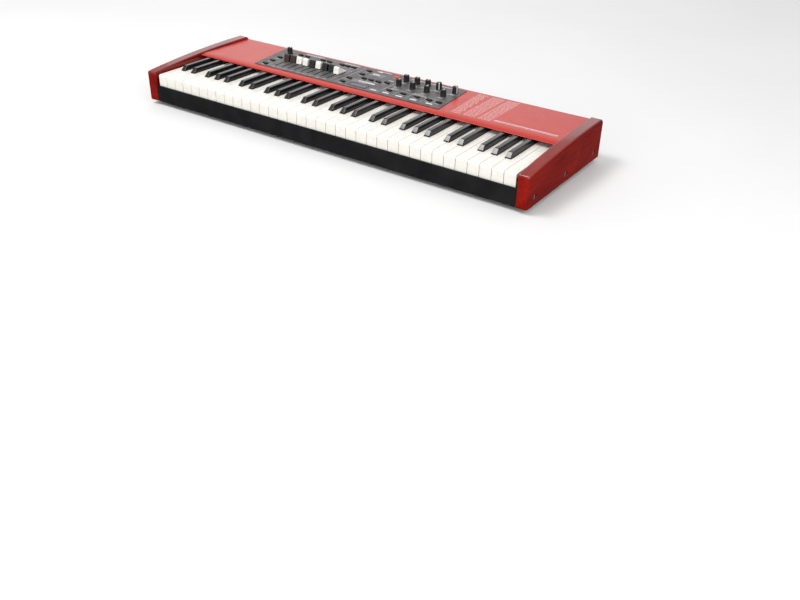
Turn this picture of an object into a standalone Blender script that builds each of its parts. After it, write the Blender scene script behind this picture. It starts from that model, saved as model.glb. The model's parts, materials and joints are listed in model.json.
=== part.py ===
"""A 61-key stage synthesizer with drawbars, built from the pieces it comes apart into.

Metres, +Z up. X runs along the keyboard with the bass end at -X, and the player sits at -Y.
The origin is on the floor under the middle of the case. The case is a black steel pan and a red
steel cover between two wooden cheeks. Moving pieces have their origins on their joints' axes.
"""

import math

import bmesh
import bpy
import numpy as np

# ---------------------------------------------------------------- driving dimensions
CASE_LENGTH = 0.900
CASE_DEPTH = 0.287
FOOT_HEIGHT = 0.008
CHEEK_THICKNESS = 0.022
SHEET = 0.0015
GAP = 0.0003

FRONT_Y = -CASE_DEPTH / 2
REAR_Y = CASE_DEPTH / 2
INNER_X = CASE_LENGTH / 2 - CHEEK_THICKNESS
SHEET_X = INNER_X - GAP
PAN_Z = FOOT_HEIGHT

# Heights above the floor.
WHITE_TOP_Z = 0.065
SHARP_TOP_Z = WHITE_TOP_Z + 0.0093
COVER_TOP_Z = WHITE_TOP_Z + 0.0135
COVER_UNDER_Z = COVER_TOP_Z - SHEET
PLATE_THICKNESS = 0.0008
PLATE_UNDER_Z = COVER_TOP_Z + GAP
PLATE_TOP_Z = PLATE_UNDER_Z + PLATE_THICKNESS

# ---------------------------------------------------------------- keyboard
OCTAVES = 5
KEY_PITCH = 0.0235
OCTAVE_WIDTH = 7 * KEY_PITCH
KEYBOARD_LEFT = -(OCTAVES * OCTAVE_WIDTH + KEY_PITCH) / 2
KEY_GAP = 0.001
KEY_FRONT_Y = -0.1375
NECK_Y = KEY_FRONT_Y + 0.048
STEP_Y = 0.018
HEAD_DEPTH = 0.008
TAIL_UNDER_Z = 0.055
STEM_TOP_Z = 0.062
SKIRT_UNDER_Z = 0.040
SKIRT_THICKNESS = 0.0028

WHITES = "CDEFGAB"
SHARP_AFTER = {"C": -0.0022, "D": 0.0023, "F": -0.0036, "G": 0.0, "A": 0.0034}
SHARP_HALF_WIDTH = 0.0057
SHARP_TOP_HALF_WIDTH = 0.0044
SHARP_CLEARANCE = 0.001
SHARP_FRONT_Y = NECK_Y + 0.001
SHARP_FRONT_SLOPE = 0.009
SHARP_END_Y = -0.0015

PIVOT_Y = 0.072
PIVOT_Z = 0.049
BAR_UNDER_Z = 0.046
BAR_TOP_Z = 0.052
BAR_DEPTH = 0.004
BAR_Y = {"whites_ceg": 0.062, "whites_dfa": 0.070, "sharps": 0.078}

# ---------------------------------------------------------------- key frame and contacts
KEYBED_HALF_LENGTH = 0.424
KEYBED_Z = 0.0098
KEYBED_Y = (-0.130, 0.080)
FRONT_WALL_Y = -0.126
FRONT_SHELF_REAR_Y = -0.108
FRONT_SHELF_TOP_Z = 0.045
PIVOT_WALL_Y = 0.0712
PIVOT_SHELF_Y = (0.068, 0.076)
PIVOT_SHELF_TOP_Z = 0.0455
RIB_Y = (-0.060, -0.0135)
FELT_MARGIN = 0.0005
FELT_TOP_Z = 0.0473
CONTACT_BOARD_Z = 0.040
CONTACT_BOARD_Y = (-0.062, -0.010)
CONTACT_HEADER = ((-0.020, -0.058), (0.020, -0.050))
CONTACT_HEADER_HEIGHT = 0.0029
DOME_STRIP_Y = (-0.042, -0.026)
DOME_STRIP_TOP_Z = 0.0435
DOME_SIZE = (0.012, 0.010)
DOME_TOP_Z = 0.0472

# ---------------------------------------------------------------- bottom pan
PAN_Y = (-0.138, 0.1402)
PAN_END_TOP_Z = 0.042
PAN_REAR_TOP_Z = 0.024

# ---------------------------------------------------------------- cover
NOSE_FRONT_Y = -0.009
NOSE_DEPTH = 0.0215
NOSE_DROP = 0.0035
COVER_REAR_Y = 0.142
BEND_RADIUS = 0.003

# ---------------------------------------------------------------- control panel
PLATE_FRONT_Y = 0.010
PLATE_REAR_Y = 0.131
PLATE_CORNERS = [
    (-0.287, PLATE_FRONT_Y),
    (0.1765, PLATE_FRONT_Y),
    (0.166, PLATE_REAR_Y),
    (-0.305, PLATE_REAR_Y),
]
PLATE_RIM = 0.003

DRAWBARS = 9
DRAWBAR_LEFT_X = -0.242
DRAWBAR_PITCH = 0.01735
DRAWBAR_TRAVEL = 0.043
DRAWBAR_DRAWN = [0, 0, 0, 0, 0, 0, 0, 0, 0.005]
DRAWBAR_STEM_Y = 0.0715
DRAWBAR_STEM = (0.003, 0.006)
CAP_WIDTH = 0.013
CAP_FRONT_Y = 0.0583
CAP_LEAN = 0.003
CAP_REAR_Y = 0.0865
CAP_UNDER_Z = PLATE_TOP_Z + 0.0007
CAP_TOP_Z = CAP_UNDER_Z + 0.014

KNOBS = {
    "level": (-0.2735, 0.1085),
    "upper_1": (0.0375, 0.1070),
    "upper_2": (0.064, 0.1070),
    "upper_3": (0.0895, 0.1070),
    "upper_4": (0.1155, 0.1070),
    "upper_5": (0.1535, 0.1065),
    "lower_1": (0.0405, 0.0755),
    "lower_2": (0.0735, 0.0755),
    "lower_3": (0.107, 0.0755),
    "lower_4": (0.1455, 0.0755),
}
KNOB_RADIUS = 0.0061
KNOB_UNDER_Z = PLATE_TOP_Z + 0.0007
KNOB_TOP_Z = KNOB_UNDER_Z + 0.0125
SHAFT_RADIUS = 0.003
SHAFT_CLEARANCE = 0.0006

BUTTON_LENGTH = 0.0130
BUTTON_WIDTH = 0.0068
BUTTON_TOP_Z = PLATE_TOP_Z + 0.0022
WEB_UNDER_Z = 0.075
WEB_TOP_Z = 0.0765
SPINE_X = -0.0635
BUTTONS = {
    "mode": [(-0.268, 0.0225), (-0.2695, 0.0465), (-0.271, 0.0725)],
    "organ": [
        (-0.246, 0.1125),
        (-0.227, 0.1125),
        (-0.184, 0.1125),
        (-0.166, 0.1125),
        (-0.132, 0.1125),
        (-0.1165, 0.1125),
        (-0.1005, 0.1125),
    ],
    "program": [
        (-0.060, 0.1125),
        (-0.060, 0.0875),
        (-0.067, 0.0525),
        (-0.064, 0.0270),
        (-0.041, 0.0680),
        (-0.023, 0.0680),
        (-0.005, 0.0680),
        (0.013, 0.0735),
        (0.010, 0.1140),
    ],
    "effects": [(0.043, 0.0385), (0.077, 0.0385), (0.109, 0.0385), (0.137, 0.0385), (0.159, 0.0385)],
}
DISPLAY = ((-0.0435, 0.0200), (-0.0035, 0.0335))
DISPLAY_UNDER_Z = 0.0746

# ---------------------------------------------------------------- panel electronics
BOARD_THICKNESS = 0.0016
PANEL_BOARD = ((-0.312, 0.0205), (0.178, 0.1245))
PANEL_BOARD_Z = 0.0665
PANEL_BOARD_TOP_Z = PANEL_BOARD_Z + BOARD_THICKNESS
PANEL_POST = 0.005
POT_SIZE = 0.010
SLIDER_WIDTH = 0.008
SLIDER_WALL = 0.0018
SLIDER_FLOOR = 0.0015
SLIDER_MARGIN = 0.006
SWITCH_SIZE = 0.006
POT_TOP_Z = 0.0738

# ---------------------------------------------------------------- electronics in the pan
MAIN_BOARD = ((-0.150, 0.086), (0.010, 0.134))
MAIN_BOARD_Z = 0.015
MAIN_BOARD_POST = 0.006
CHIPS = [(-0.120, 0.110, 0.028, 0.028), (-0.070, 0.108, 0.020, 0.020), (-0.030, 0.112, 0.014, 0.024)]
CHIP_HEIGHT = 0.0025
HEADER = ((-0.010, 0.092), (-0.003, 0.128))
HEADER_HEIGHT = 0.009
SUPPLY_X = (0.286, 0.332)
SUPPLY_Y = (0.088, 0.136)
SUPPLY_Z = (PAN_Z + SHEET + GAP, 0.050)
SUPPLY_BOARD_Z = 0.0185

# ---------------------------------------------------------------- rear connectors
CONNECTOR_FACE_Y = COVER_REAR_Y - GAP
JACK_STRIP = ((0.020, 0.125, 0.028), (0.262, CONNECTOR_FACE_Y, 0.046))
JACK_BOARD_Y = (0.090, 0.135)
JACK_HEADER = ((0.030, 0.094), (0.050, 0.106))
JACK_HEADER_HEIGHT = 0.008
JACK_Z = 0.037
JACK_X = [0.040 + 0.027 * index for index in range(6)]
JACK_RADIUS = 0.0032
JACK_DEPTH = 0.014
ROUND_SOCKET_X = (0.203, 0.226)
ROUND_SOCKET_RADIUS = 0.0066
ROUND_SOCKET_DEPTH = 0.008
DATA_SOCKET_X = 0.247
DATA_SOCKET_SIZE = (0.0086, 0.0080)
DATA_SOCKET_DEPTH = 0.009

INLET = ((0.340, 0.116, 0.027), (0.404, CONNECTOR_FACE_Y, 0.057))
MAINS_SOCKET_X = (0.371, 0.3955)
MAINS_SOCKET_Z = (0.034, 0.0505)
MAINS_SOCKET_CORNER = 0.004
MAINS_SOCKET_DEPTH = 0.015
SWITCH_X = 0.3535
SWITCH_Y = 0.134
SWITCH_Z = 0.042
SWITCH_RECESS = (0.0150, 0.0220)
SWITCH_DEPTH = 0.0125
ROCKER_WIDTH = 0.0144
ROCKER_TILT = math.radians(7)

FEET = {
    "front_left": (-0.400, -0.108),
    "front_right": (0.400, -0.108),
    "rear_left": (-0.400, 0.108),
    "rear_right": (0.400, 0.108),
}
STUD_RADIUS = 0.003


# ---------------------------------------------------------------- scene and materials
def clear_scene():
    for obj in list(bpy.data.objects):
        bpy.data.objects.remove(obj, do_unlink=True)


def material(name, colour, roughness, metallic=0.0):
    made = bpy.data.materials.new(name)
    made.use_nodes = True
    shader = made.node_tree.nodes["Principled BSDF"]
    shader.inputs["Base Color"].default_value = (*colour, 1.0)
    shader.inputs["Roughness"].default_value = roughness
    shader.inputs["Metallic"].default_value = metallic
    return made


def make_materials():
    return {
        "red_wood": material("red_wood", (0.30, 0.012, 0.008), 0.20),
        "red_steel": material("red_steel", (0.42, 0.020, 0.015), 0.30),
        "black_steel": material("black_steel", (0.012, 0.012, 0.013), 0.40),
        "bare_steel": material("bare_steel", (0.50, 0.50, 0.52), 0.35, 1.0),
        "grey_panel": material("grey_panel", (0.20, 0.20, 0.21), 0.45),
        "ivory": material("ivory", (0.82, 0.79, 0.70), 0.25),
        "ebony": material("ebony", (0.015, 0.015, 0.016), 0.30),
        "dark_plastic": material("dark_plastic", (0.03, 0.03, 0.032), 0.45),
        "brown_plastic": material("brown_plastic", (0.06, 0.025, 0.015), 0.35),
        "white_plastic": material("white_plastic", (0.85, 0.84, 0.80), 0.35),
        "lens": material("lens", (0.03, 0.015, 0.03), 0.10),
        "board_green": material("board_green", (0.02, 0.12, 0.05), 0.50),
        "rubber": material("rubber", (0.02, 0.02, 0.02), 0.80),
        "red_felt": material("red_felt", (0.35, 0.02, 0.03), 0.95),
    }


# ---------------------------------------------------------------- mesh helpers
def add_object(name, bm, surface, origin=(0.0, 0.0, 0.0)):
    """Turns a mesh in world coordinates into a named object whose own origin is at the given point."""
    bmesh.ops.recalc_face_normals(bm, faces=bm.faces)
    bmesh.ops.translate(bm, verts=bm.verts, vec=[-value for value in origin])
    mesh = bpy.data.meshes.new(name)
    bm.to_mesh(mesh)
    bm.free()
    mesh.shade_smooth()
    mesh.set_sharp_from_angle(angle=math.radians(35))
    mesh.materials.append(surface)
    obj = bpy.data.objects.new(name, mesh)
    obj.location = origin
    bpy.context.collection.objects.link(obj)
    return obj


def add_helper(name, bm):
    """A cutter or a tool body, which isn't a piece of the object."""
    bmesh.ops.recalc_face_normals(bm, faces=bm.faces)
    mesh = bpy.data.meshes.new(name)
    bm.to_mesh(mesh)
    bm.free()
    helper = bpy.data.objects.new(name, mesh)
    helper.hide_render = True
    helper.display_type = "WIRE"
    bpy.context.collection.objects.link(helper)
    return helper


def combine(obj, helper, operation):
    boolean = obj.modifiers.new(helper.name, "BOOLEAN")
    boolean.operation = operation
    boolean.solver = "EXACT"
    boolean.object = helper


def box(low, high):
    return tuple(low), tuple(high)


def centred_box(x, y, width, depth, low_z, high_z):
    return (x - width / 2, y - depth / 2, low_z), (x + width / 2, y + depth / 2, high_z)


def block_mesh(boxes):
    """One closed surface round axis-aligned boxes that touch or overlap each other."""
    corners = np.round(np.array(boxes, dtype=float), 7)
    cuts = [np.unique(corners[:, :, axis]) for axis in range(3)]
    filled = np.zeros([len(cut) + 1 for cut in cuts], dtype=bool)
    for low, high in corners:
        spans = [
            slice(np.searchsorted(cut, start) + 1, np.searchsorted(cut, end) + 1)
            for cut, start, end in zip(cuts, low, high)
        ]
        filled[tuple(spans)] = True
    bm = bmesh.new()
    grid = {}

    def vertex(index):
        if index not in grid:
            grid[index] = bm.verts.new([cuts[axis][index[axis]] for axis in range(3)])
        return grid[index]

    for axis in range(3):
        across = [(axis + 1) % 3, (axis + 2) % 3]
        changes = np.argwhere(np.diff(filled.astype(int), axis=axis) != 0)
        for cell in changes:
            base = [cell[0] - 1, cell[1] - 1, cell[2] - 1]
            base[axis] += 1
            loop = []
            for step_a, step_b in ((0, 0), (1, 0), (1, 1), (0, 1)):
                corner = list(base)
                corner[across[0]] += step_a
                corner[across[1]] += step_b
                loop.append(vertex(tuple(int(value) for value in corner)))
            bm.faces.new(loop)
    bmesh.ops.recalc_face_normals(bm, faces=bm.faces)
    bmesh.ops.dissolve_limit(bm, angle_limit=0.01, verts=bm.verts, edges=bm.edges)
    return bm


def add_prism(bm, outline, axis, low, high):
    """Extrudes a flat outline along an axis. The outline's pairs are YZ, XZ or XY coordinates."""
    def placed(pair, along):
        point = list(pair)
        point.insert("XYZ".index(axis), along)
        return point

    bottom = [bm.verts.new(placed(pair, low)) for pair in outline]
    top = [bm.verts.new(placed(pair, high)) for pair in outline]
    bm.faces.new(bottom)
    bm.faces.new(reversed(top))
    for index, vertex in enumerate(bottom):
        following = (index + 1) % len(bottom)
        bm.faces.new((vertex, bottom[following], top[following], top[index]))


def prism_mesh(outline, axis, low, high):
    bm = bmesh.new()
    add_prism(bm, outline, axis, low, high)
    return bm


def turned_mesh(x, y, profile, segments):
    """A body turned about an upright axis, from (radius, height) pairs that run from bottom to top."""
    bm = bmesh.new()
    rings = []
    for radius, height in profile:
        turns = [2 * math.pi * index / segments for index in range(segments)]
        rings.append([
            bm.verts.new((x + radius * math.cos(turn), y + radius * math.sin(turn), height))
            for turn in turns
        ])
    bm.faces.new(rings[0])
    bm.faces.new(rings[-1])
    for lower, upper in zip(rings, rings[1:]):
        for index in range(segments):
            following = (index + 1) % segments
            bm.faces.new((lower[index], lower[following], upper[following], upper[index]))
    return bm


def arc(centre, radius_a, radius_b, start, end, steps):
    """Points of an elliptical arc; the angles are in degrees."""
    turns = [math.radians(start + (end - start) * step / steps) for step in range(steps + 1)]
    return [
        (centre[0] + radius_a * math.cos(turn), centre[1] + radius_b * math.sin(turn)) for turn in turns
    ]


def obround(x, y, length, width, steps=3):
    """A slot outline with round ends, longer along X."""
    reach = (length - width) / 2
    right = arc((x + reach, y), width / 2, width / 2, -90, 90, steps)
    left = arc((x - reach, y), width / 2, width / 2, 90, 270, steps)
    return right + left


def rectangle(x, y, width, height):
    return [
        (x - width / 2, y - height / 2),
        (x + width / 2, y - height / 2),
        (x + width / 2, y + height / 2),
        (x - width / 2, y + height / 2),
    ]


def circle(x, y, radius, segments):
    return arc((x, y), radius, radius, 0, 360 * (segments - 1) / segments, segments - 1)


def inset(corners, distance):
    """The outline moved inwards; the corners run anticlockwise."""
    lines = []
    for index, (x, y) in enumerate(corners):
        next_x, next_y = corners[(index + 1) % len(corners)]
        length = math.hypot(next_x - x, next_y - y)
        along = ((next_x - x) / length, (next_y - y) / length)
        lines.append(((x - along[1] * distance, y + along[0] * distance), along))
    moved = []
    for index, (point, along) in enumerate(lines):
        before, before_along = lines[index - 1]
        cross = before_along[0] * along[1] - before_along[1] * along[0]
        offset = (point[0] - before[0], point[1] - before[1])
        share = (offset[0] * along[1] - offset[1] * along[0]) / cross
        moved.append((before[0] + before_along[0] * share, before[1] + before_along[1] * share))
    return moved


# ---------------------------------------------------------------- case
def cheek_outline():
    """Side view of a cheek: upright ends, round top corners and a top that rises towards the rear."""
    front_corner = 0.005
    rear_corner = 0.010
    front_rise_z = 0.0692
    crown = 0.0142
    crown_power = 2.2
    crown_steps = 7
    start_y = FRONT_Y + front_corner
    end_y = REAR_Y - rear_corner
    points = arc((start_y, front_rise_z - front_corner), front_corner, front_corner, 180, 110, 3)
    for step in range(1, crown_steps + 1):
        share = step / crown_steps
        points.append((
            start_y + (end_y - start_y) * share,
            front_rise_z + crown * (1 - (1 - share) ** crown_power),
        ))
    top_z = front_rise_z + crown
    points += arc((end_y, top_z - rear_corner), rear_corner, rear_corner, 75, 0, 4)
    return [(FRONT_Y, PAN_Z)] + points + [(REAR_Y, PAN_Z)]


def build_cheeks(surfaces):
    for name, side in (("left_cheek", -1), ("right_cheek", 1)):
        faces = sorted((side * INNER_X, side * CASE_LENGTH / 2))
        cheek = add_object(name, prism_mesh(cheek_outline(), "X", *faces), surfaces["red_wood"])
        bevel = cheek.modifiers.new("eased_edges", "BEVEL")
        bevel.width = 0.0018
        bevel.segments = 2
        bevel.limit_method = "ANGLE"
        bevel.angle_limit = math.radians(60)


def build_pan(surfaces):
    """Folded steel pan: floor, a flange at the rear, and a taller flange at each end for the cheek."""
    front, rear = PAN_Y
    floor_top_z = PAN_Z + SHEET
    boxes = [
        box((-SHEET_X, front, PAN_Z), (SHEET_X, rear, floor_top_z)),
        box((-SHEET_X, rear - SHEET, PAN_Z), (SHEET_X, rear, PAN_REAR_TOP_Z)),
    ]
    for side in (-1, 1):
        edges = sorted((side * SHEET_X, side * (SHEET_X - SHEET)))
        boxes.append(box((edges[0], front, PAN_Z), (edges[1], rear, PAN_END_TOP_Z)))
    pan = add_object("bottom_pan", block_mesh(boxes), surfaces["black_steel"])
    holes = bmesh.new()
    for x, y in FEET.values():
        add_prism(holes, circle(x, y, STUD_RADIUS + 0.0004, 12), "Z", PAN_Z - 0.002, floor_top_z + 0.002)
    combine(pan, add_helper("foot_holes", holes), "DIFFERENCE")


def build_feet(surfaces):
    for name, (x, y) in FEET.items():
        profile = [
            (0.0090, 0.0),
            (0.0100, 0.0020),
            (0.0105, PAN_Z - GAP),
            (STUD_RADIUS, PAN_Z - GAP),
            (STUD_RADIUS, PAN_Z + SHEET),
        ]
        add_object("foot_" + name, turned_mesh(x, y, profile, 16), surfaces["rubber"], (x, y, 0.0))


def build_key_slip(surfaces):
    """Black rail below the fronts of the keys, with its upper edge eased."""
    front = -0.141
    rear = -0.1383
    top_z = 0.042
    ease = 0.0006
    outline = [
        (front, PAN_Z),
        (rear, PAN_Z),
        (rear, top_z),
        (front + ease, top_z),
        (front, top_z - ease),
    ]
    add_object("key_slip", prism_mesh(outline, "X", -SHEET_X, SHEET_X), surfaces["black_steel"])


def cover_outline():
    """Side view of the folded cover: rolled nose, flat top, rear bend and rear wall."""
    nose_centre = (NOSE_FRONT_Y + NOSE_DEPTH, COVER_TOP_Z - NOSE_DROP)
    bend_centre = (COVER_REAR_Y - BEND_RADIUS, COVER_TOP_Z - BEND_RADIUS)
    inner_bend = BEND_RADIUS - SHEET
    outer = arc(nose_centre, NOSE_DEPTH, NOSE_DROP, 180, 90, 7)
    outer += arc(bend_centre, BEND_RADIUS, BEND_RADIUS, 90, 0, 4)
    outer.append((COVER_REAR_Y, PAN_Z))
    inner = [(COVER_REAR_Y - SHEET, PAN_Z)]
    inner += arc(bend_centre, inner_bend, inner_bend, 0, 90, 4)
    inner += arc(nose_centre, NOSE_DEPTH - SHEET, NOSE_DROP - SHEET, 90, 180, 7)
    return outer + inner


def build_cover(surfaces):
    body = prism_mesh(cover_outline(), "X", -SHEET_X, SHEET_X)
    cover = add_object("top_cover", body, surfaces["red_steel"])
    cuts = bmesh.new()
    add_prism(cuts, inset(PLATE_CORNERS, PLATE_RIM), "Z", COVER_UNDER_Z - 0.001, COVER_TOP_Z + 0.001)
    for low, high in (JACK_STRIP, INLET):
        middle_x = (low[0] + high[0]) / 2
        middle_z = (low[2] + high[2]) / 2
        window = rectangle(middle_x, middle_z, high[0] - low[0] + 2 * GAP, high[2] - low[2] + 2 * GAP)
        add_prism(cuts, window, "Y", COVER_REAR_Y - 0.005, COVER_REAR_Y + 0.005)
    combine(cover, add_helper("cover_openings", cuts), "DIFFERENCE")


# ---------------------------------------------------------------- keybed
def white_span(octave_x, note):
    """Head and tail extents of a white key across the keyboard."""
    index = WHITES.index(note)
    left = octave_x + index * KEY_PITCH + KEY_GAP / 2
    right = octave_x + (index + 1) * KEY_PITCH - KEY_GAP / 2
    reach = SHARP_HALF_WIDTH + SHARP_CLEARANCE
    tail_left = left
    tail_right = right
    before = WHITES[index - 1]
    if index and before in SHARP_AFTER:
        tail_left = octave_x + index * KEY_PITCH + SHARP_AFTER[before] + reach
    if note in SHARP_AFTER:
        tail_right = octave_x + (index + 1) * KEY_PITCH + SHARP_AFTER[note] - reach
    return left, right, tail_left, tail_right


def white_key_boxes(spans, bar_y):
    left, right, tail_left, tail_right = spans
    end_y = bar_y + BAR_DEPTH
    return [
        box((left, KEY_FRONT_Y, WHITE_TOP_Z - HEAD_DEPTH), (right, NECK_Y, WHITE_TOP_Z)),
        box((left, KEY_FRONT_Y, SKIRT_UNDER_Z), (right, KEY_FRONT_Y + SKIRT_THICKNESS, WHITE_TOP_Z)),
        box((tail_left, NECK_Y - 0.003, TAIL_UNDER_Z), (tail_right, STEP_Y, WHITE_TOP_Z)),
        box((tail_left, STEP_Y, TAIL_UNDER_Z), (tail_right, end_y, STEM_TOP_Z)),
        box((tail_left, bar_y, BAR_UNDER_Z), (tail_right, end_y, STEM_TOP_Z)),
    ]


def build_white_comb(name, spans_list, bar_y, surfaces):
    boxes = []
    for spans in spans_list:
        boxes += white_key_boxes(spans, bar_y)
    bar_left = min(spans[2] for spans in spans_list)
    bar_right = max(spans[3] for spans in spans_list)
    boxes.append(box((bar_left, bar_y, BAR_UNDER_Z), (bar_right, bar_y + BAR_DEPTH, BAR_TOP_Z)))
    centre_x = (bar_left + bar_right) / 2
    add_object(name, block_mesh(boxes), surfaces["ivory"], (centre_x, PIVOT_Y, PIVOT_Z))


def add_sharp_cap(bm, x):
    """The raised part of a sharp: straight foot, sloping front and sides that lean inwards."""
    foot_z = STEM_TOP_Z - 0.002
    shoulder_z = WHITE_TOP_Z + 0.001
    levels = [
        (foot_z, SHARP_HALF_WIDTH, SHARP_FRONT_Y),
        (shoulder_z, SHARP_HALF_WIDTH, SHARP_FRONT_Y),
        (SHARP_TOP_Z, SHARP_TOP_HALF_WIDTH, SHARP_FRONT_Y + SHARP_FRONT_SLOPE),
    ]
    rings = []
    for z, half_width, front_y in levels:
        rings.append([
            bm.verts.new((x - half_width, front_y, z)),
            bm.verts.new((x + half_width, front_y, z)),
            bm.verts.new((x + half_width, SHARP_END_Y, z)),
            bm.verts.new((x - half_width, SHARP_END_Y, z)),
        ])
    bm.faces.new(rings[0])
    bm.faces.new(rings[-1])
    for lower, upper in zip(rings, rings[1:]):
        for index in range(4):
            following = (index + 1) % 4
            bm.faces.new((lower[index], lower[following], upper[following], upper[index]))


def build_sharp_comb(name, octave_x, surfaces):
    """Five sharps on one rear bar. Their stems are 0.3 mm narrower on each side than their caps."""
    bar_y = BAR_Y["sharps"]
    end_y = bar_y + BAR_DEPTH
    stem_half_width = SHARP_HALF_WIDTH - 0.0003
    centres = [
        octave_x + (WHITES.index(note) + 1) * KEY_PITCH + shift for note, shift in SHARP_AFTER.items()
    ]
    boxes = [box(
        (centres[0] - stem_half_width, bar_y, BAR_UNDER_Z),
        (centres[-1] + stem_half_width, end_y, BAR_TOP_Z),
    )]
    caps = bmesh.new()
    for x in centres:
        left = x - stem_half_width
        right = x + stem_half_width
        boxes.append(box((left, SHARP_FRONT_Y + 0.001, TAIL_UNDER_Z), (right, end_y, STEM_TOP_Z)))
        boxes.append(box((left, bar_y, BAR_UNDER_Z), (right, end_y, STEM_TOP_Z)))
        add_sharp_cap(caps, x)
    centre_x = (centres[0] + centres[-1]) / 2
    comb = add_object(name, block_mesh(boxes), surfaces["ebony"], (centre_x, PIVOT_Y, PIVOT_Z))
    combine(comb, add_helper(name + "_caps", caps), "UNION")


def build_keys(surfaces):
    for octave in range(OCTAVES):
        octave_x = KEYBOARD_LEFT + octave * OCTAVE_WIDTH
        number = str(octave + 1)
        for kind, notes in (("whites_ceg", "CEGB"), ("whites_dfa", "DFA")):
            spans_list = [white_span(octave_x, note) for note in notes]
            build_white_comb("keys_" + kind + "_" + number, spans_list, BAR_Y[kind], surfaces)
        build_sharp_comb("keys_sharps_" + number, octave_x, surfaces)
    top_left = KEYBOARD_LEFT + OCTAVES * OCTAVE_WIDTH + KEY_GAP / 2
    top_right = top_left + KEY_PITCH - KEY_GAP
    top_c = (top_left, top_right, top_left, top_right)
    build_white_comb("key_top_c", [top_c], BAR_Y["whites_ceg"], surfaces)


def build_key_frame(surfaces):
    """Folded frame under the keys: base, front shelf, pivot shelf and two ribs for the contact board."""
    half = KEYBED_HALF_LENGTH
    front, rear = KEYBED_Y
    pivot_front, pivot_rear = PIVOT_SHELF_Y
    shelf_low_z = FRONT_SHELF_TOP_Z - SHEET
    boxes = [
        box((-half, front, KEYBED_Z), (half, rear, KEYBED_Z + SHEET)),
        box((-half, FRONT_WALL_Y, KEYBED_Z), (half, FRONT_WALL_Y + SHEET, FRONT_SHELF_TOP_Z)),
        box((-half, FRONT_WALL_Y, shelf_low_z), (half, FRONT_SHELF_REAR_Y, FRONT_SHELF_TOP_Z)),
        box((-half, PIVOT_WALL_Y, KEYBED_Z), (half, PIVOT_WALL_Y + SHEET, PIVOT_SHELF_TOP_Z)),
        box((-half, pivot_front, PIVOT_SHELF_TOP_Z - SHEET), (half, pivot_rear, PIVOT_SHELF_TOP_Z)),
    ]
    for y in RIB_Y:
        boxes.append(box((-half, y, KEYBED_Z), (half, y + SHEET, CONTACT_BOARD_Z - GAP)))
    add_object("key_frame", block_mesh(boxes), surfaces["bare_steel"])


def build_key_felt(surfaces):
    """Felt on the front shelf that stops the white keys."""
    half = KEYBED_HALF_LENGTH
    front = FRONT_WALL_Y + FELT_MARGIN
    rear = FRONT_SHELF_REAR_Y - FELT_MARGIN
    felt = [box((-half, front, FRONT_SHELF_TOP_Z + GAP), (half, rear, FELT_TOP_Z))]
    add_object("key_felt_strip", block_mesh(felt), surfaces["red_felt"])


def build_key_contacts(surfaces):
    """Contact board with its cable header, and the rubber strip with one dome under each white key."""
    half = KEYBED_HALF_LENGTH
    front, rear = CONTACT_BOARD_Y
    top_z = CONTACT_BOARD_Z + BOARD_THICKNESS
    (header_left, header_front), (header_right, header_rear) = CONTACT_HEADER
    header_top_z = top_z + CONTACT_HEADER_HEIGHT
    board = [
        box((-half, front, CONTACT_BOARD_Z), (half, rear, top_z)),
        box((header_left, header_front, top_z), (header_right, header_rear, header_top_z)),
    ]
    add_object("key_contact_board", block_mesh(board), surfaces["board_green"])

    strip_front, strip_rear = DOME_STRIP_Y
    dome_y = (strip_front + strip_rear) / 2
    dome_width, dome_depth = DOME_SIZE
    strip = [box((-half, strip_front, top_z + GAP), (half, strip_rear, DOME_STRIP_TOP_Z))]
    for index in range(7 * OCTAVES):
        x = KEYBOARD_LEFT + (index + 0.5) * KEY_PITCH
        strip.append(centred_box(x, dome_y, dome_width, dome_depth, DOME_STRIP_TOP_Z - 0.001, DOME_TOP_Z))
    add_object("contact_rubber_strip", block_mesh(strip), surfaces["rubber"])


# ---------------------------------------------------------------- control panel
def button_outline(x, y, clearance=0.0):
    return obround(x, y, BUTTON_LENGTH + 2 * clearance, BUTTON_WIDTH + 2 * clearance)


def build_plate(surfaces):
    """Grey plate over the cover's opening, with a hole for each control."""
    plate = add_object(
        "control_panel", prism_mesh(PLATE_CORNERS, "Z", PLATE_UNDER_Z, PLATE_TOP_Z), surfaces["grey_panel"]
    )
    low_z = PLATE_UNDER_Z - 0.001
    high_z = PLATE_TOP_Z + 0.001
    cuts = bmesh.new()
    slot_width = DRAWBAR_STEM[0] + 0.0006
    slot_rear = DRAWBAR_STEM_Y + DRAWBAR_STEM[1] / 2 + GAP
    slot_front = DRAWBAR_STEM_Y - DRAWBAR_TRAVEL - DRAWBAR_STEM[1] / 2 - GAP
    for index in range(DRAWBARS):
        x = DRAWBAR_LEFT_X + index * DRAWBAR_PITCH
        left = x - slot_width / 2
        right = x + slot_width / 2
        slot = [(left, slot_front), (right, slot_front), (right, slot_rear), (left, slot_rear)]
        add_prism(cuts, slot, "Z", low_z, high_z)
    for x, y in KNOBS.values():
        add_prism(cuts, circle(x, y, SHAFT_RADIUS + SHAFT_CLEARANCE, 12), "Z", low_z, high_z)
    for centres in BUTTONS.values():
        for x, y in centres:
            add_prism(cuts, button_outline(x, y, GAP), "Z", low_z, high_z)
    (left, front), (right, rear) = DISPLAY
    window_width = right - left + 2 * GAP
    window_depth = rear - front + 2 * GAP
    window = rectangle((left + right) / 2, (front + rear) / 2, window_width, window_depth)
    add_prism(cuts, window, "Z", low_z, high_z)
    combine(plate, add_helper("plate_holes", cuts), "DIFFERENCE")


def build_display(surfaces):
    (left, front), (right, rear) = DISPLAY
    lens = [box((left, front, DISPLAY_UNDER_Z), (right, rear, PLATE_TOP_Z + 0.0004))]
    add_object("display_window", block_mesh(lens), surfaces["lens"])


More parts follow.
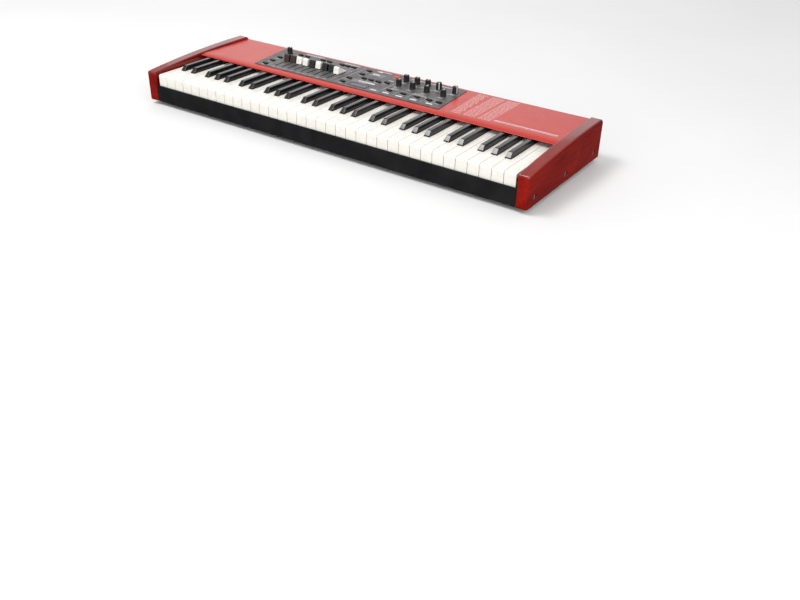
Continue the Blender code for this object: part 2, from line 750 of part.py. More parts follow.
def drawbar_outline(drawn):
    """Side view of a drawbar cap drawn forward: leaning front, rounded crest and a falling back."""
    crest_radius = 0.0030
    front_y = CAP_FRONT_Y - drawn
    rear_y = CAP_REAR_Y - drawn
    crest_centre = (front_y + CAP_LEAN + crest_radius, CAP_TOP_Z - crest_radius)
    points = [(front_y, CAP_UNDER_Z)]
    points += arc(crest_centre, crest_radius, crest_radius, 175, 65, 4)
    points += [
        (front_y + 0.0155, CAP_UNDER_Z + 0.0070),
        (rear_y, CAP_UNDER_Z + 0.0025),
        (rear_y, CAP_UNDER_Z),
    ]
    return points


def build_drawbars(surfaces):
    colours = ["brown_plastic"] * 2 + ["white_plastic"] * 2 + ["ebony", "white_plastic"]
    colours += ["ebony"] * 2 + ["white_plastic"]
    stem_width, stem_depth = DRAWBAR_STEM
    stem_low_z = PANEL_BOARD_TOP_Z + SLIDER_FLOOR + 2 * GAP
    for index, drawn in enumerate(DRAWBAR_DRAWN):
        x = DRAWBAR_LEFT_X + index * DRAWBAR_PITCH
        y = DRAWBAR_STEM_Y - drawn
        sides = (x - CAP_WIDTH / 2, x + CAP_WIDTH / 2)
        name = "drawbar_" + str(index + 1)
        cap = prism_mesh(drawbar_outline(drawn), "X", *sides)
        bar = add_object(name, cap, surfaces[colours[index]], (x, y, PLATE_TOP_Z))
        stem = centred_box(x, y, stem_width, stem_depth, stem_low_z, CAP_UNDER_Z + 0.002)
        combine(bar, add_helper(name + "_stem", block_mesh([stem])), "UNION")


def build_knobs(surfaces):
    profile = [
        (SHAFT_RADIUS, POT_TOP_Z + GAP),
        (SHAFT_RADIUS, KNOB_UNDER_Z),
        (KNOB_RADIUS, KNOB_UNDER_Z),
        (KNOB_RADIUS * 0.94, KNOB_TOP_Z - 0.0006),
        (KNOB_RADIUS * 0.85, KNOB_TOP_Z),
    ]
    for name, (x, y) in KNOBS.items():
        knob = turned_mesh(x, y, profile, 16)
        add_object("knob_" + name, knob, surfaces["dark_plastic"], (x, y, PLATE_TOP_Z))


def web(points, width=0.006):
    """A moulded web of straight stretches between points, each along X or along Y."""
    boxes = []
    for (x, y), (next_x, next_y) in zip(points, points[1:]):
        low = (min(x, next_x) - width / 2, min(y, next_y) - width / 2, WEB_UNDER_Z)
        high = (max(x, next_x) + width / 2, max(y, next_y) + width / 2, WEB_TOP_Z)
        boxes.append(box(low, high))
    return boxes


def build_buttons(surfaces):
    """Four button mouldings. The caps of each stand on one web under the plate."""
    mode = BUTTONS["mode"]
    program = BUTTONS["program"]
    spine = [(SPINE_X, program[3][1]), (SPINE_X, program[0][1])]
    branch = [(SPINE_X, program[4][1]), (program[7][0], program[4][1]), (program[7][0], program[8][1])]
    webs = {
        "mode": web([(mode[1][0], mode[0][1]), (mode[1][0], mode[2][1])]),
        "organ": web([BUTTONS["organ"][0], BUTTONS["organ"][-1]]),
        "program": web(spine) + web(branch),
        "effects": web([BUTTONS["effects"][0], BUTTONS["effects"][-1]]),
    }
    for group, centres in BUTTONS.items():
        origin = (*centres[0], WEB_UNDER_Z)
        moulding = add_object("buttons_" + group, block_mesh(webs[group]), surfaces["dark_plastic"], origin)
        caps = bmesh.new()
        for x, y in centres:
            add_prism(caps, button_outline(x, y), "Z", WEB_UNDER_Z + 0.0004, BUTTON_TOP_Z)
        combine(moulding, add_helper("caps_" + group, caps), "UNION")


def build_panel_board(surfaces):
    """Board under the control panel with its posts, potentiometers, switches and display module."""
    (left, front), (right, rear) = PANEL_BOARD
    top_z = PANEL_BOARD_TOP_Z
    inset_by = PANEL_POST / 2
    boxes = [box((left, front, PANEL_BOARD_Z), (right, rear, top_z))]
    for x in (left + inset_by, right - inset_by):
        for y in (front + inset_by, rear - inset_by):
            boxes.append(centred_box(x, y, PANEL_POST, PANEL_POST, top_z, COVER_UNDER_Z - GAP))
    slider_front = DRAWBAR_STEM_Y - DRAWBAR_TRAVEL - SLIDER_MARGIN
    slider_rear = DRAWBAR_STEM_Y + SLIDER_MARGIN
    wall_offset = SLIDER_WIDTH / 2 - SLIDER_WALL / 2
    for index in range(DRAWBARS):
        x = DRAWBAR_LEFT_X + index * DRAWBAR_PITCH
        left_x = x - SLIDER_WIDTH / 2
        right_x = x + SLIDER_WIDTH / 2
        boxes.append(box((left_x, slider_front, top_z), (right_x, slider_rear, top_z + SLIDER_FLOOR)))
        for side in (-1, 1):
            wall = x + side * wall_offset
            wall_left = wall - SLIDER_WALL / 2
            wall_right = wall + SLIDER_WALL / 2
            boxes.append(box((wall_left, slider_front, top_z), (wall_right, slider_rear, POT_TOP_Z)))
    for x, y in KNOBS.values():
        boxes.append(centred_box(x, y, POT_SIZE, POT_SIZE, top_z, POT_TOP_Z))
    for centres in BUTTONS.values():
        for x, y in centres:
            boxes.append(centred_box(x, y, SWITCH_SIZE, SWITCH_SIZE, top_z, POT_TOP_Z))
    (lens_left, lens_front), (lens_right, lens_rear) = DISPLAY
    module_front = lens_front + 0.001
    boxes.append(box((lens_left, module_front, top_z), (lens_right, lens_rear, DISPLAY_UNDER_Z - GAP)))
    add_object("panel_board", block_mesh(boxes), surfaces["board_green"])


# ---------------------------------------------------------------- electronics at the rear
def build_main_board(surfaces):
    """Main board on four posts, with its processors and the header for the panel cable."""
    (left, front), (right, rear) = MAIN_BOARD
    top_z = MAIN_BOARD_Z + BOARD_THICKNESS
    boxes = [box((left, front, MAIN_BOARD_Z), (right, rear, top_z))]
    inset_by = MAIN_BOARD_POST / 2
    post_low_z = PAN_Z + SHEET + GAP
    for x in (left + inset_by, right - inset_by):
        for y in (front + inset_by, rear - inset_by):
            boxes.append(centred_box(x, y, MAIN_BOARD_POST, MAIN_BOARD_POST, post_low_z, MAIN_BOARD_Z))
    for x, y, width, depth in CHIPS:
        boxes.append(centred_box(x, y, width, depth, top_z, top_z + CHIP_HEIGHT))
    (header_left, header_front), (header_right, header_rear) = HEADER
    header_top_z = top_z + HEADER_HEIGHT
    boxes.append(box((header_left, header_front, top_z), (header_right, header_rear, header_top_z)))
    add_object("main_board", block_mesh(boxes), surfaces["board_green"])


def build_power_supply(surfaces):
    """Mains supply: a folded cage open at both ends round a board, a transformer and a capacitor."""
    left, right = SUPPLY_X
    front, rear = SUPPLY_Y
    low_z, high_z = SUPPLY_Z
    board_margin = 0.004
    board_top_z = SUPPLY_BOARD_Z + BOARD_THICKNESS
    middle_x = (left + right) / 2
    transformer = (0.105, 0.024, 0.022, 0.040)
    capacitor = (0.124, 0.012, 0.012, 0.036)
    boxes = [
        box((left, front, low_z), (right, rear, low_z + SHEET)),
        box((left, front, low_z), (left + SHEET, rear, high_z)),
        box((right - SHEET, front, low_z), (right, rear, high_z)),
        box((left, front, high_z - SHEET), (right, rear, high_z)),
        box((left, front + board_margin, SUPPLY_BOARD_Z), (right, rear - board_margin, board_top_z)),
    ]
    for y, width, depth, top_z in (transformer, capacitor):
        boxes.append(centred_box(middle_x, y, width, depth, SUPPLY_BOARD_Z, top_z))
    add_object("power_supply", block_mesh(boxes), surfaces["bare_steel"])


def octagon(x, z, across_flats):
    """Eight-sided outline with flats at the top, the bottom and the sides."""
    reach = across_flats / 2
    corner = reach * math.tan(math.radians(22.5))
    return [
        (x - corner, z - reach),
        (x + corner, z - reach),
        (x + reach, z - corner),
        (x + reach, z + corner),
        (x + corner, z + reach),
        (x - corner, z + reach),
        (x - reach, z + corner),
        (x - reach, z - corner),
    ]


def build_jack_board(surfaces):
    """Audio and data connectors: a socket strip in the rear window and the board behind it."""
    (left, strip_y, low_z), (right, face_y, high_z) = JACK_STRIP
    board_front, board_rear = JACK_BOARD_Y
    (header_left, header_front), (header_right, header_rear) = JACK_HEADER
    header_top_z = low_z + JACK_HEADER_HEIGHT
    boxes = [
        box((left, strip_y, low_z), (right, face_y, high_z)),
        box((left, board_front, low_z - BOARD_THICKNESS), (right, board_rear, low_z)),
        box((header_left, header_front, low_z), (header_right, header_rear, header_top_z)),
    ]
    board = add_object("jack_board", block_mesh(boxes), surfaces["dark_plastic"])
    mouth_y = face_y + 0.001
    bores = bmesh.new()
    for x in JACK_X:
        add_prism(bores, octagon(x, JACK_Z, 2 * JACK_RADIUS), "Y", face_y - JACK_DEPTH, mouth_y)
    for x in ROUND_SOCKET_X:
        outline = octagon(x, JACK_Z, 2 * ROUND_SOCKET_RADIUS)
        add_prism(bores, outline, "Y", face_y - ROUND_SOCKET_DEPTH, mouth_y)
    outline = rectangle(DATA_SOCKET_X, JACK_Z, *DATA_SOCKET_SIZE)
    add_prism(bores, outline, "Y", face_y - DATA_SOCKET_DEPTH, mouth_y)
    combine(board, add_helper("socket_bores", bores), "DIFFERENCE")


def build_power_inlet(surfaces):
    """Mains socket and switch housing in one moulding."""
    face_y = INLET[1][1]
    mouth_y = face_y + 0.001
    inlet = add_object("power_inlet", block_mesh([INLET]), surfaces["dark_plastic"])
    left, right = MAINS_SOCKET_X
    low_z, high_z = MAINS_SOCKET_Z
    corner = MAINS_SOCKET_CORNER
    socket = [
        (left, low_z),
        (right, low_z),
        (right, high_z - corner),
        (right - corner, high_z),
        (left + corner, high_z),
        (left, high_z - corner),
    ]
    hollows = bmesh.new()
    add_prism(hollows, socket, "Y", face_y - MAINS_SOCKET_DEPTH, mouth_y)
    add_prism(hollows, rectangle(SWITCH_X, SWITCH_Z, *SWITCH_RECESS), "Y", face_y - SWITCH_DEPTH, mouth_y)
    combine(inlet, add_helper("inlet_hollows", hollows), "DIFFERENCE")


def build_rocker(surfaces):
    """Rocker of the power switch, at rest with its upper end out."""
    neutral = [
        (0.0048, 0.0),
        (0.0060, 0.0100),
        (-0.0020, 0.0080),
        (-0.0035, 0.0),
        (-0.0020, -0.0080),
        (0.0060, -0.0100),
    ]
    outline = []
    for y, z in neutral:
        outline.append((
            SWITCH_Y + y * math.cos(ROCKER_TILT) + z * math.sin(ROCKER_TILT),
            SWITCH_Z - y * math.sin(ROCKER_TILT) + z * math.cos(ROCKER_TILT),
        ))
    sides = (SWITCH_X - ROCKER_WIDTH / 2, SWITCH_X + ROCKER_WIDTH / 2)
    origin = (SWITCH_X, SWITCH_Y, SWITCH_Z)
    add_object("power_rocker", prism_mesh(outline, "X", *sides), surfaces["dark_plastic"], origin)


def main():
    clear_scene()
    surfaces = make_materials()
    build_cheeks(surfaces)
    build_pan(surfaces)
    build_feet(surfaces)
    build_key_slip(surfaces)
    build_cover(surfaces)
    build_keys(surfaces)
    build_key_frame(surfaces)
    build_key_felt(surfaces)
    build_key_contacts(surfaces)
    build_plate(surfaces)
    build_display(surfaces)
    build_drawbars(surfaces)
    build_knobs(surfaces)
    build_buttons(surfaces)
    build_panel_board(surfaces)
    build_main_board(surfaces)
    build_power_supply(surfaces)
    build_jack_board(surfaces)
    build_power_inlet(surfaces)
    build_rocker(surfaces)


main()
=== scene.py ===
"""Looks for the 61-key synthesizer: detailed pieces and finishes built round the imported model.

Metres, in the model's own frame: X along the keyboard, Y away from the player, Z up from the floor.
"""

import json
import math

import bmesh
import bpy
import numpy as np
from mathutils import Matrix, Vector


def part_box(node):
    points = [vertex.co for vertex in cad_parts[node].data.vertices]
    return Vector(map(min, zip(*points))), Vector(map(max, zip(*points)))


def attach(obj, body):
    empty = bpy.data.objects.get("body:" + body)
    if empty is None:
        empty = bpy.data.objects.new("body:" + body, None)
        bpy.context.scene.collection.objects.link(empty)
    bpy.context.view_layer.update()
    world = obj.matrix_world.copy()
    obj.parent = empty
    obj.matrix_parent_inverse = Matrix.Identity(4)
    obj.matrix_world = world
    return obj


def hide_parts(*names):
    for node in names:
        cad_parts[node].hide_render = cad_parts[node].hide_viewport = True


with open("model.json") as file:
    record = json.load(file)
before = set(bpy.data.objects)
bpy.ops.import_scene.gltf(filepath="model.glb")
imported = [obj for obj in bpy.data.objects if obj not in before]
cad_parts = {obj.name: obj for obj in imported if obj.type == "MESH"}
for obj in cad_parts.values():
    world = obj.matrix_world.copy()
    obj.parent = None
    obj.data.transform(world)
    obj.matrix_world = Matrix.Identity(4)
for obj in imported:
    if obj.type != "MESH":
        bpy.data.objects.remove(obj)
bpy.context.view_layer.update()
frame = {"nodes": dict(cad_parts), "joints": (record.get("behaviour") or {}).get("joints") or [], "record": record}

# ---------------------------------------------------------------- shared sizes
GAP = 0.0003
SHEET = 0.0015
OCTAVES = 5
KEY_PITCH = 0.0235
OCTAVE_WIDTH = 7 * KEY_PITCH
KEY_GAP = 0.001
WHITES = "CDEFGAB"
SHARP_AFTER = {"C": -0.0022, "D": 0.0023, "F": -0.0036, "G": 0.0, "A": 0.0034}
SHARP_HALF_WIDTH = 0.0057
SHARP_TOP_HALF_WIDTH = 0.0044
SHARP_CLEARANCE = 0.001
HEAD_LENGTH = 0.048
HEAD_DEPTH = 0.008
SKIRT_THICKNESS = 0.0028
STEM_TOP_Z = 0.062
TAIL_UNDER_Z = 0.055
STEP_Y = 0.018
BAR_DEPTH = 0.004

NOSE_DEPTH = 0.0215
NOSE_DROP = 0.0035
BEND_RADIUS = 0.003
PLATE_RIM = 0.003
PLATE_REAR_CORNERS = (-0.305, 0.166)
PLATE_FRONT_CORNERS = (-0.287, 0.1765)

CAP_WIDTH = 0.013
CAP_LEAN = 0.003
DRAWBAR_TRAVEL = 0.043
DRAWBAR_STEM = (0.003, 0.006)
DRAWBAR_STEM_Y = 0.0715
BUTTON_LENGTH = 0.0130
BUTTON_WIDTH = 0.0068
WEB_WIDTH = 0.006
WEB_THICKNESS = 0.0015
BUTTONS = {
    "mode": [(-0.268, 0.0225), (-0.2695, 0.0465), (-0.271, 0.0725)],
    "organ": [(x, 0.1125) for x in (-0.246, -0.227, -0.184, -0.166, -0.132, -0.1165, -0.1005)],
    "program": [
        (-0.060, 0.1125), (-0.060, 0.0875), (-0.067, 0.0525), (-0.064, 0.0270), (-0.041, 0.0680),
        (-0.023, 0.0680), (-0.005, 0.0680), (0.013, 0.0735), (0.010, 0.1140),
    ],
    "effects": [(x, 0.0385) for x in (0.043, 0.077, 0.109, 0.137, 0.159)],
}
ALL_BUTTONS = [(index, x, y) for centres in BUTTONS.values() for index, (x, y) in enumerate(centres)]
RED_BUTTON = ("program", 8)
SPINE_X = -0.0635

REARWARD = (-math.pi / 2, 0.0, 0.0)
JACK_X = [0.040 + 0.027 * index for index in range(6)]
JACK_WINDOW_Z = (0.028, 0.046)
ROUND_SOCKET_X = (0.203, 0.226)
DATA_SOCKET_X = 0.247
SOCKET_Z = 0.037
MAINS_SOCKET_X = (0.371, 0.3955)
MAINS_SOCKET_Z = (0.034, 0.0505)
ROCKER_Z = 0.042


def low_of(node):
    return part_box(node)[0]


def high_of(node):
    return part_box(node)[1]


def middle_of(node):
    low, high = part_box(node)
    return [(start + end) / 2 for start, end in zip(low, high)]


COVER_TOP_Z = high_of("top_cover").z
COVER_REAR_Y = high_of("top_cover").y
NOSE_FRONT_Y = low_of("top_cover").y
PLATE_TOP_Z = high_of("control_panel").z
PLATE_UNDER_Z = low_of("control_panel").z
PLATE_Y = (low_of("control_panel").y, high_of("control_panel").y)
WHITE_TOP_Z = high_of("key_top_c").z
KEY_FRONT_Y = low_of("key_top_c").y
SKIRT_UNDER_Z = low_of("key_top_c").z
SHARP_TOP_Z = high_of("keys_sharps_1").z
SHARP_FRONT_Y = low_of("keys_sharps_1").y
KEYBOARD_LEFT = low_of("keys_whites_ceg_1").x - KEY_GAP / 2
NECK_Y = KEY_FRONT_Y + HEAD_LENGTH
BAR_UNDER_Z = low_of("keys_sharps_1").z
FACE_Y = high_of("jack_board").y
DRAWBAR_X = [middle_of(f"drawbar_{number}")[0] for number in range(1, 10)]
KNOB_JOINTS = [joint for joint in frame["joints"] if joint["child"].startswith("knob_")]
KNOB_CENTRES = [tuple(joint["pos_m"][:2]) for joint in KNOB_JOINTS]


# ---------------------------------------------------------------- finishes
def set_inputs(node, values):
    """Gives a node's inputs fixed values, by the inputs' names."""
    for name, value in values.items():
        node.inputs[name].default_value = value


def new_node(tree, kind, values):
    node = tree.nodes.new(kind)
    set_inputs(node, values)
    return node


def new_surface(name, roughness, metallic=0.0, coat=0.0, coat_roughness=0.08, specular=0.5):
    surface = bpy.data.materials.new(name)
    surface.use_nodes = True
    tree = surface.node_tree
    shader = tree.nodes["Principled BSDF"]
    set_inputs(shader, {
        "Roughness": roughness,
        "Metallic": metallic,
        "Specular IOR Level": specular,
        "Coat Weight": coat,
        "Coat Roughness": coat_roughness,
    })
    return surface, tree, shader


def pattern_space(tree, stretch=(1.0, 1.0, 1.0)):
    """The piece's own coordinates, with each axis scaled."""
    source = tree.nodes.new("ShaderNodeTexCoord")
    mapping = new_node(tree, "ShaderNodeMapping", {"Scale": stretch})
    tree.links.new(source.outputs["Object"], mapping.inputs["Vector"])
    return mapping.outputs["Vector"]


def noise(tree, space, scale, detail=3.0, distortion=0.0):
    values = {"Scale": scale, "Detail": detail, "Distortion": distortion}
    pattern = new_node(tree, "ShaderNodeTexNoise", values)
    tree.links.new(space, pattern.inputs["Vector"])
    return pattern.outputs["Fac"]


def ramp(tree, value, stops):
    """A colour that follows a value, from (position, colour) stops."""
    node = tree.nodes.new("ShaderNodeValToRGB")
    elements = node.color_ramp.elements
    while len(elements) < len(stops):
        elements.new(0.5)
    for element, (position, colour) in zip(elements, stops):
        element.position = position
        element.color = (*colour, 1.0)
    tree.links.new(value, node.inputs["Fac"])
    return node.outputs["Color"]


def vary_roughness(tree, shader, value, low, high):
    values = {"From Min": 0.3, "From Max": 0.7, "To Min": low, "To Max": high}
    node = new_node(tree, "ShaderNodeMapRange", values)
    tree.links.new(value, node.inputs["Value"])
    tree.links.new(node.outputs["Result"], shader.inputs["Roughness"])


def relief(tree, shader, height, depth):
    node = new_node(tree, "ShaderNodeBump", {"Strength": 1.0, "Distance": depth})
    tree.links.new(height, node.inputs["Height"])
    tree.links.new(node.outputs["Normal"], shader.inputs["Normal"])


def mottled(name, dark, light, roughness, patch=25.0, grain=900.0, depth=0.00002, spread=0.05, **extra):
    """A moulded, painted or printed finish: faint patches, uneven gloss and a fine grain."""
    surface, tree, shader = new_surface(name, roughness, **extra)
    space = pattern_space(tree)
    patches = noise(tree, space, patch, 4.0)
    tree.links.new(ramp(tree, patches, [(0.35, dark), (0.65, light)]), shader.inputs["Base Color"])
    gloss = noise(tree, space, patch * 6, 3.0)
    vary_roughness(tree, shader, gloss, roughness - spread, roughness + spread)
    relief(tree, shader, noise(tree, space, grain, 2.0), depth)
    return surface


def lacquered_wood(name):
    """Red-stained veneer under clear lacquer, with its grain along the cheek."""
    surface, tree, shader = new_surface(name, 0.38, coat=0.95, coat_roughness=0.10, specular=0.0)
    along = pattern_space(tree, (1.0, 0.045, 1.0))
    figure = noise(tree, pattern_space(tree, (1.0, 0.35, 1.0)), 22.0, 5.0, 0.6)
    streaks = noise(tree, along, 420.0, 6.0, 0.4)
    blend = tree.nodes.new("ShaderNodeMix")
    blend.data_type = "RGBA"
    blend.blend_type = "MULTIPLY"
    blend.inputs["Factor"].default_value = 0.50
    base = ramp(tree, figure, [(0.30, (0.155, 0.004, 0.002)), (0.52, (0.225, 0.007, 0.004)),
                               (0.72, (0.300, 0.013, 0.006))])
    lines = ramp(tree, streaks, [(0.36, (0.42, 0.30, 0.28)), (0.50, (0.92, 0.90, 0.88)),
                                 (0.66, (1.0, 1.0, 1.0))])
    tree.links.new(base, blend.inputs["A"])
    tree.links.new(lines, blend.inputs["B"])
    tree.links.new(blend.outputs["Result"], shader.inputs["Base Color"])
    relief(tree, shader, streaks, 0.00003)
    return surface


def brushed_metal(name, dark, light, roughness, stretch):
    surface, tree, shader = new_surface(name, roughness, metallic=1.0)
    lines = noise(tree, pattern_space(tree, stretch), 700.0, 4.0)
    tree.links.new(ramp(tree, lines, [(0.3, dark), (0.7, light)]), shader.inputs["Base Color"])
    vary_roughness(tree, shader, lines, roughness - 0.07, roughness + 0.07)
    relief(tree, shader, lines, 0.00001)
    return surface


def circuit_board(name):
    """Green solder mask with lighter copper runs under it."""
    surface, tree, shader = new_surface(name, 0.35, coat=0.4)
    runs = tree.nodes.new("ShaderNodeTexVoronoi")
    runs.distance = "MANHATTAN"
    runs.feature = "F2"
    runs.inputs["Scale"].default_value = 260.0
    tree.links.new(pattern_space(tree, (1.0, 0.55, 1.0)), runs.inputs["Vector"])
    stops = [(0.30, (0.010, 0.070, 0.030)), (0.55, (0.016, 0.120, 0.050)), (0.60, (0.050, 0.230, 0.090))]
    colour = ramp(tree, runs.outputs["Distance"], stops)
    tree.links.new(colour, shader.inputs["Base Color"])
    relief(tree, shader, runs.outputs["Distance"], 0.00004)
    return surface


def felt(name):
    surface = mottled(name, (0.26, 0.012, 0.016), (0.42, 0.030, 0.036), 0.92, 180.0, 2600.0, 0.00025)
    surface.node_tree.nodes["Principled BSDF"].inputs["Sheen Weight"].default_value = 0.5
    return surface


def display_glass(name):
    """Dark lens with a faint grid of unlit cells behind it."""
    surface, tree, shader = new_surface(name, 0.16, specular=0.35)
    cells = new_node(tree, "ShaderNodeTexBrick", {
        "Scale": 1.0,
        "Brick Width": 0.0012,
        "Row Height": 0.0012,
        "Mortar Size": 0.00014,
        "Color1": (0.050, 0.020, 0.075, 1.0),
        "Color2": (0.065, 0.026, 0.090, 1.0),
        "Mortar": (0.020, 0.008, 0.030, 1.0),
    })
    cells.offset = 0.0
    tree.links.new(pattern_space(tree), cells.inputs["Vector"])
    tree.links.new(cells.outputs["Color"], shader.inputs["Base Color"])
    return surface


FINISH = {
    "wood": lacquered_wood("lacquered_wood"),
    "zinc": brushed_metal("zinc_plate", (0.42, 0.42, 0.44), (0.66, 0.66, 0.68), 0.34, (0.05, 1.0, 1.0)),
    "nickel": brushed_metal("nickel_plate", (0.55, 0.54, 0.52), (0.78, 0.77, 0.75), 0.22, (1.0, 1.0, 0.2)),
    "glass": display_glass("display_glass"),
    "circuit": circuit_board("circuit_board"),
    "felt": felt("red_felt"),
}
# Name, dark and light tones, roughness, patch scale, grain scale, grain depth, and how far the gloss varies.
MOTTLED = {
    "red": ("red_paint", (0.425, 0.018, 0.009), (0.460, 0.024, 0.012), 0.30, 12, 1500, 4e-6, 0.03),
    "black_steel": ("black_powder_coat", (0.008, 0.008, 0.009), (0.013, 0.013, 0.014), 0.45, 30, 1300, 3e-5),
    "panel": ("grey_panel_paint", (0.066, 0.062, 0.062), (0.105, 0.097, 0.098), 0.46, 60, 2200, 2e-5),
    "ivory": ("ivory_plastic", (0.775, 0.745, 0.685), (0.795, 0.765, 0.705), 0.27, 18, 1800, 6e-6, 0.04),
    "ebony": ("ebony_plastic", (0.004, 0.004, 0.005), (0.008, 0.008, 0.009), 0.20, 60, 2400, 6e-6, 0.04),
    "plastic": ("dark_moulded_plastic", (0.008, 0.008, 0.009), (0.018, 0.018, 0.020), 0.48, 90, 3000, 4e-5),
    "button": ("black_button_plastic", (0.003, 0.003, 0.003), (0.006, 0.006, 0.006), 0.40, 90, 2400, 1e-5),
    "brown": ("brown_moulded_plastic", (0.028, 0.013, 0.010), (0.052, 0.026, 0.019), 0.42, 90, 2400, 2e-5),
    "white": ("white_moulded_plastic", (0.80, 0.785, 0.73), (0.86, 0.845, 0.79), 0.36, 70, 2400, 1e-5),
    "signal_red": ("red_moulded_plastic", (0.62, 0.030, 0.012), (0.78, 0.050, 0.022), 0.32, 90, 2400, 1e-5),
    "lamp": ("unlit_red_lamp", (0.060, 0.008, 0.008), (0.110, 0.016, 0.014), 0.20, 300, 2400, 2e-6),
    "ink": ("light_print", (0.56, 0.56, 0.60), (0.74, 0.74, 0.78), 0.55, 200, 4000, 4e-6),
    "grey_ink": ("grey_print", (0.34, 0.34, 0.34), (0.50, 0.50, 0.50), 0.55, 200, 4000, 4e-6),
    "soft_ink": ("pale_print", (0.66, 0.44, 0.45), (0.80, 0.62, 0.62), 0.55, 200, 4000, 4e-6),
    "rubber": ("black_rubber", (0.014, 0.014, 0.014), (0.030, 0.030, 0.030), 0.82, 60, 1400, 6e-5),
}
SPECULAR = {"red": 0.34, "black_steel": 0.15, "panel": 0.36, "plastic": 0.3, "button": 0.15}
for finish, values in MOTTLED.items():
    clear_coat = 1.0 if finish == "lamp" else 0.0
    FINISH[finish] = mottled(*values, coat=clear_coat, specular=SPECULAR.get(finish, 0.5))


# ---------------------------------------------------------------- mesh helpers
def block_mesh(boxes):
    """One closed surface round axis-aligned boxes that touch or overlap each other."""
    corners = np.round(np.array(boxes, dtype=float), 7)
    cuts = [np.unique(corners[:, :, axis]) for axis in range(3)]
    filled = np.zeros([len(cut) + 1 for cut in cuts], dtype=bool)
    for low, high in corners:
        spans = [
            slice(np.searchsorted(cut, start) + 1, np.searchsorted(cut, end) + 1)
            for cut, start, end in zip(cuts, low, high)
        ]
        filled[tuple(spans)] = True
    bm = bmesh.new()
    grid = {}

    def vertex(index):
        if index not in grid:
            grid[index] = bm.verts.new([cuts[axis][index[axis]] for axis in range(3)])
        return grid[index]

    for axis in range(3):
        across = [(axis + 1) % 3, (axis + 2) % 3]
        for cell in np.argwhere(np.diff(filled.astype(int), axis=axis) != 0):
            base = [cell[0] - 1, cell[1] - 1, cell[2] - 1]
            base[axis] += 1
            loop = []
            for step_a, step_b in ((0, 0), (1, 0), (1, 1), (0, 1)):
                corner = list(base)
                corner[across[0]] += step_a
                corner[across[1]] += step_b
                loop.append(vertex(tuple(int(value) for value in corner)))
            bm.faces.new(loop)
    bmesh.ops.recalc_face_normals(bm, faces=bm.faces)
    bmesh.ops.dissolve_limit(bm, angle_limit=0.01, verts=bm.verts, edges=bm.edges)
    return bm


def centred_box(x, y, width, depth, low_z, high_z):
    return (x - width / 2, y - depth / 2, low_z), (x + width / 2, y + depth / 2, high_z)


def bridge(bm, lower, upper):
    """Joins two rings of equal length with a band of faces."""
    for index in range(len(lower)):
        following = (index + 1) % len(lower)
        bm.faces.new((lower[index], lower[following], upper[following], upper[index]))


def add_prism(bm, outline, axis, low, high):
    """Extrudes a flat outline along an axis. The outline's pairs are YZ, XZ or XY coordinates."""
    def placed(pair, along):
        point = list(pair)
        point.insert("XYZ".index(axis), along)
        return bm.verts.new(point)

    bottom = [placed(pair, low) for pair in outline]
    top = [placed(pair, high) for pair in outline]
    bm.faces.new(bottom)
    bm.faces.new(reversed(top))
    bridge(bm, bottom, top)


def prism_mesh(outline, axis, low, high):
    bm = bmesh.new()
    add_prism(bm, outline, axis, low, high)
    return bm


def add_stack(bm, rings):
    """Joins rings of equal length, from bottom to top, and closes both ends."""
    made = [[bm.verts.new(point) for point in ring] for ring in rings]
    bm.faces.new(made[0])
    bm.faces.new(made[-1])
    for lower, upper in zip(made, made[1:]):
        bridge(bm, lower, upper)


def stack_mesh(rings):
    bm = bmesh.new()
    add_stack(bm, rings)
    return bm


def arc(centre, radius_a, radius_b, start, end, steps):
    """Points of an elliptical arc; the angles are in degrees."""
    turns = [math.radians(start + (end - start) * step / steps) for step in range(steps + 1)]
    return [
        (centre[0] + radius_a * math.cos(turn), centre[1] + radius_b * math.sin(turn)) for turn in turns
    ]


def circle(x, y, radius, segments):
    return arc((x, y), radius, radius, 0, 360 * (segments - 1) / segments, segments - 1)


def obround(x, y, length, width, steps=9):
    reach = (length - width) / 2
    right = arc((x + reach, y), width / 2, width / 2, -90, 90, steps)
    left = arc((x - reach, y), width / 2, width / 2, 90, 270, steps)
    return right + left


def rectangle(x, y, width, height):
    left, right = x - width / 2, x + width / 2
    low, high = y - height / 2, y + height / 2
    return [(left, low), (right, low), (right, high), (left, high)]


def add_turned(bm, profile, segments, x=0.0, y=0.0, z=0.0):
    """Adds a body turned about an upright axis; the (radius, height) pairs run upwards."""
    rings = []
    for radius, height in profile:
        rings.append([(*point, z + height) for point in circle(x, y, radius, segments)])
    add_stack(bm, rings)


def turned(profile, segments=40):
    bm = bmesh.new()
    add_turned(bm, profile, segments)
    return bm


def ring_mesh(inner, outer, height, segments=40, flats=0, ease_by=0.0002):
    """A washer or nut about Z that stands on Z = 0; flats makes its outside a polygon."""
    bm = bmesh.new()
    loops = []
    for radius, z, is_outer in (
        (inner, 0, False),
        (outer, 0, True),
        (outer, height - ease_by, True),
        (outer - ease_by, height, True),
        (inner + ease_by, height, False),
        (inner, height - ease_by, False),
    ):
        loop = []
        for index in range(segments):
            turn = 2 * math.pi * index / segments
            reach = radius
            if is_outer and flats:
                side = 2 * math.pi / flats
                reach = radius * math.cos(side / 2) / math.cos((turn % side) - side / 2)
            loop.append(bm.verts.new((reach * math.cos(turn), reach * math.sin(turn), z)))
        loops.append(loop)
    for lower, upper in zip(loops, loops[1:] + loops[:1]):
        bridge(bm, lower, upper)
    return bm


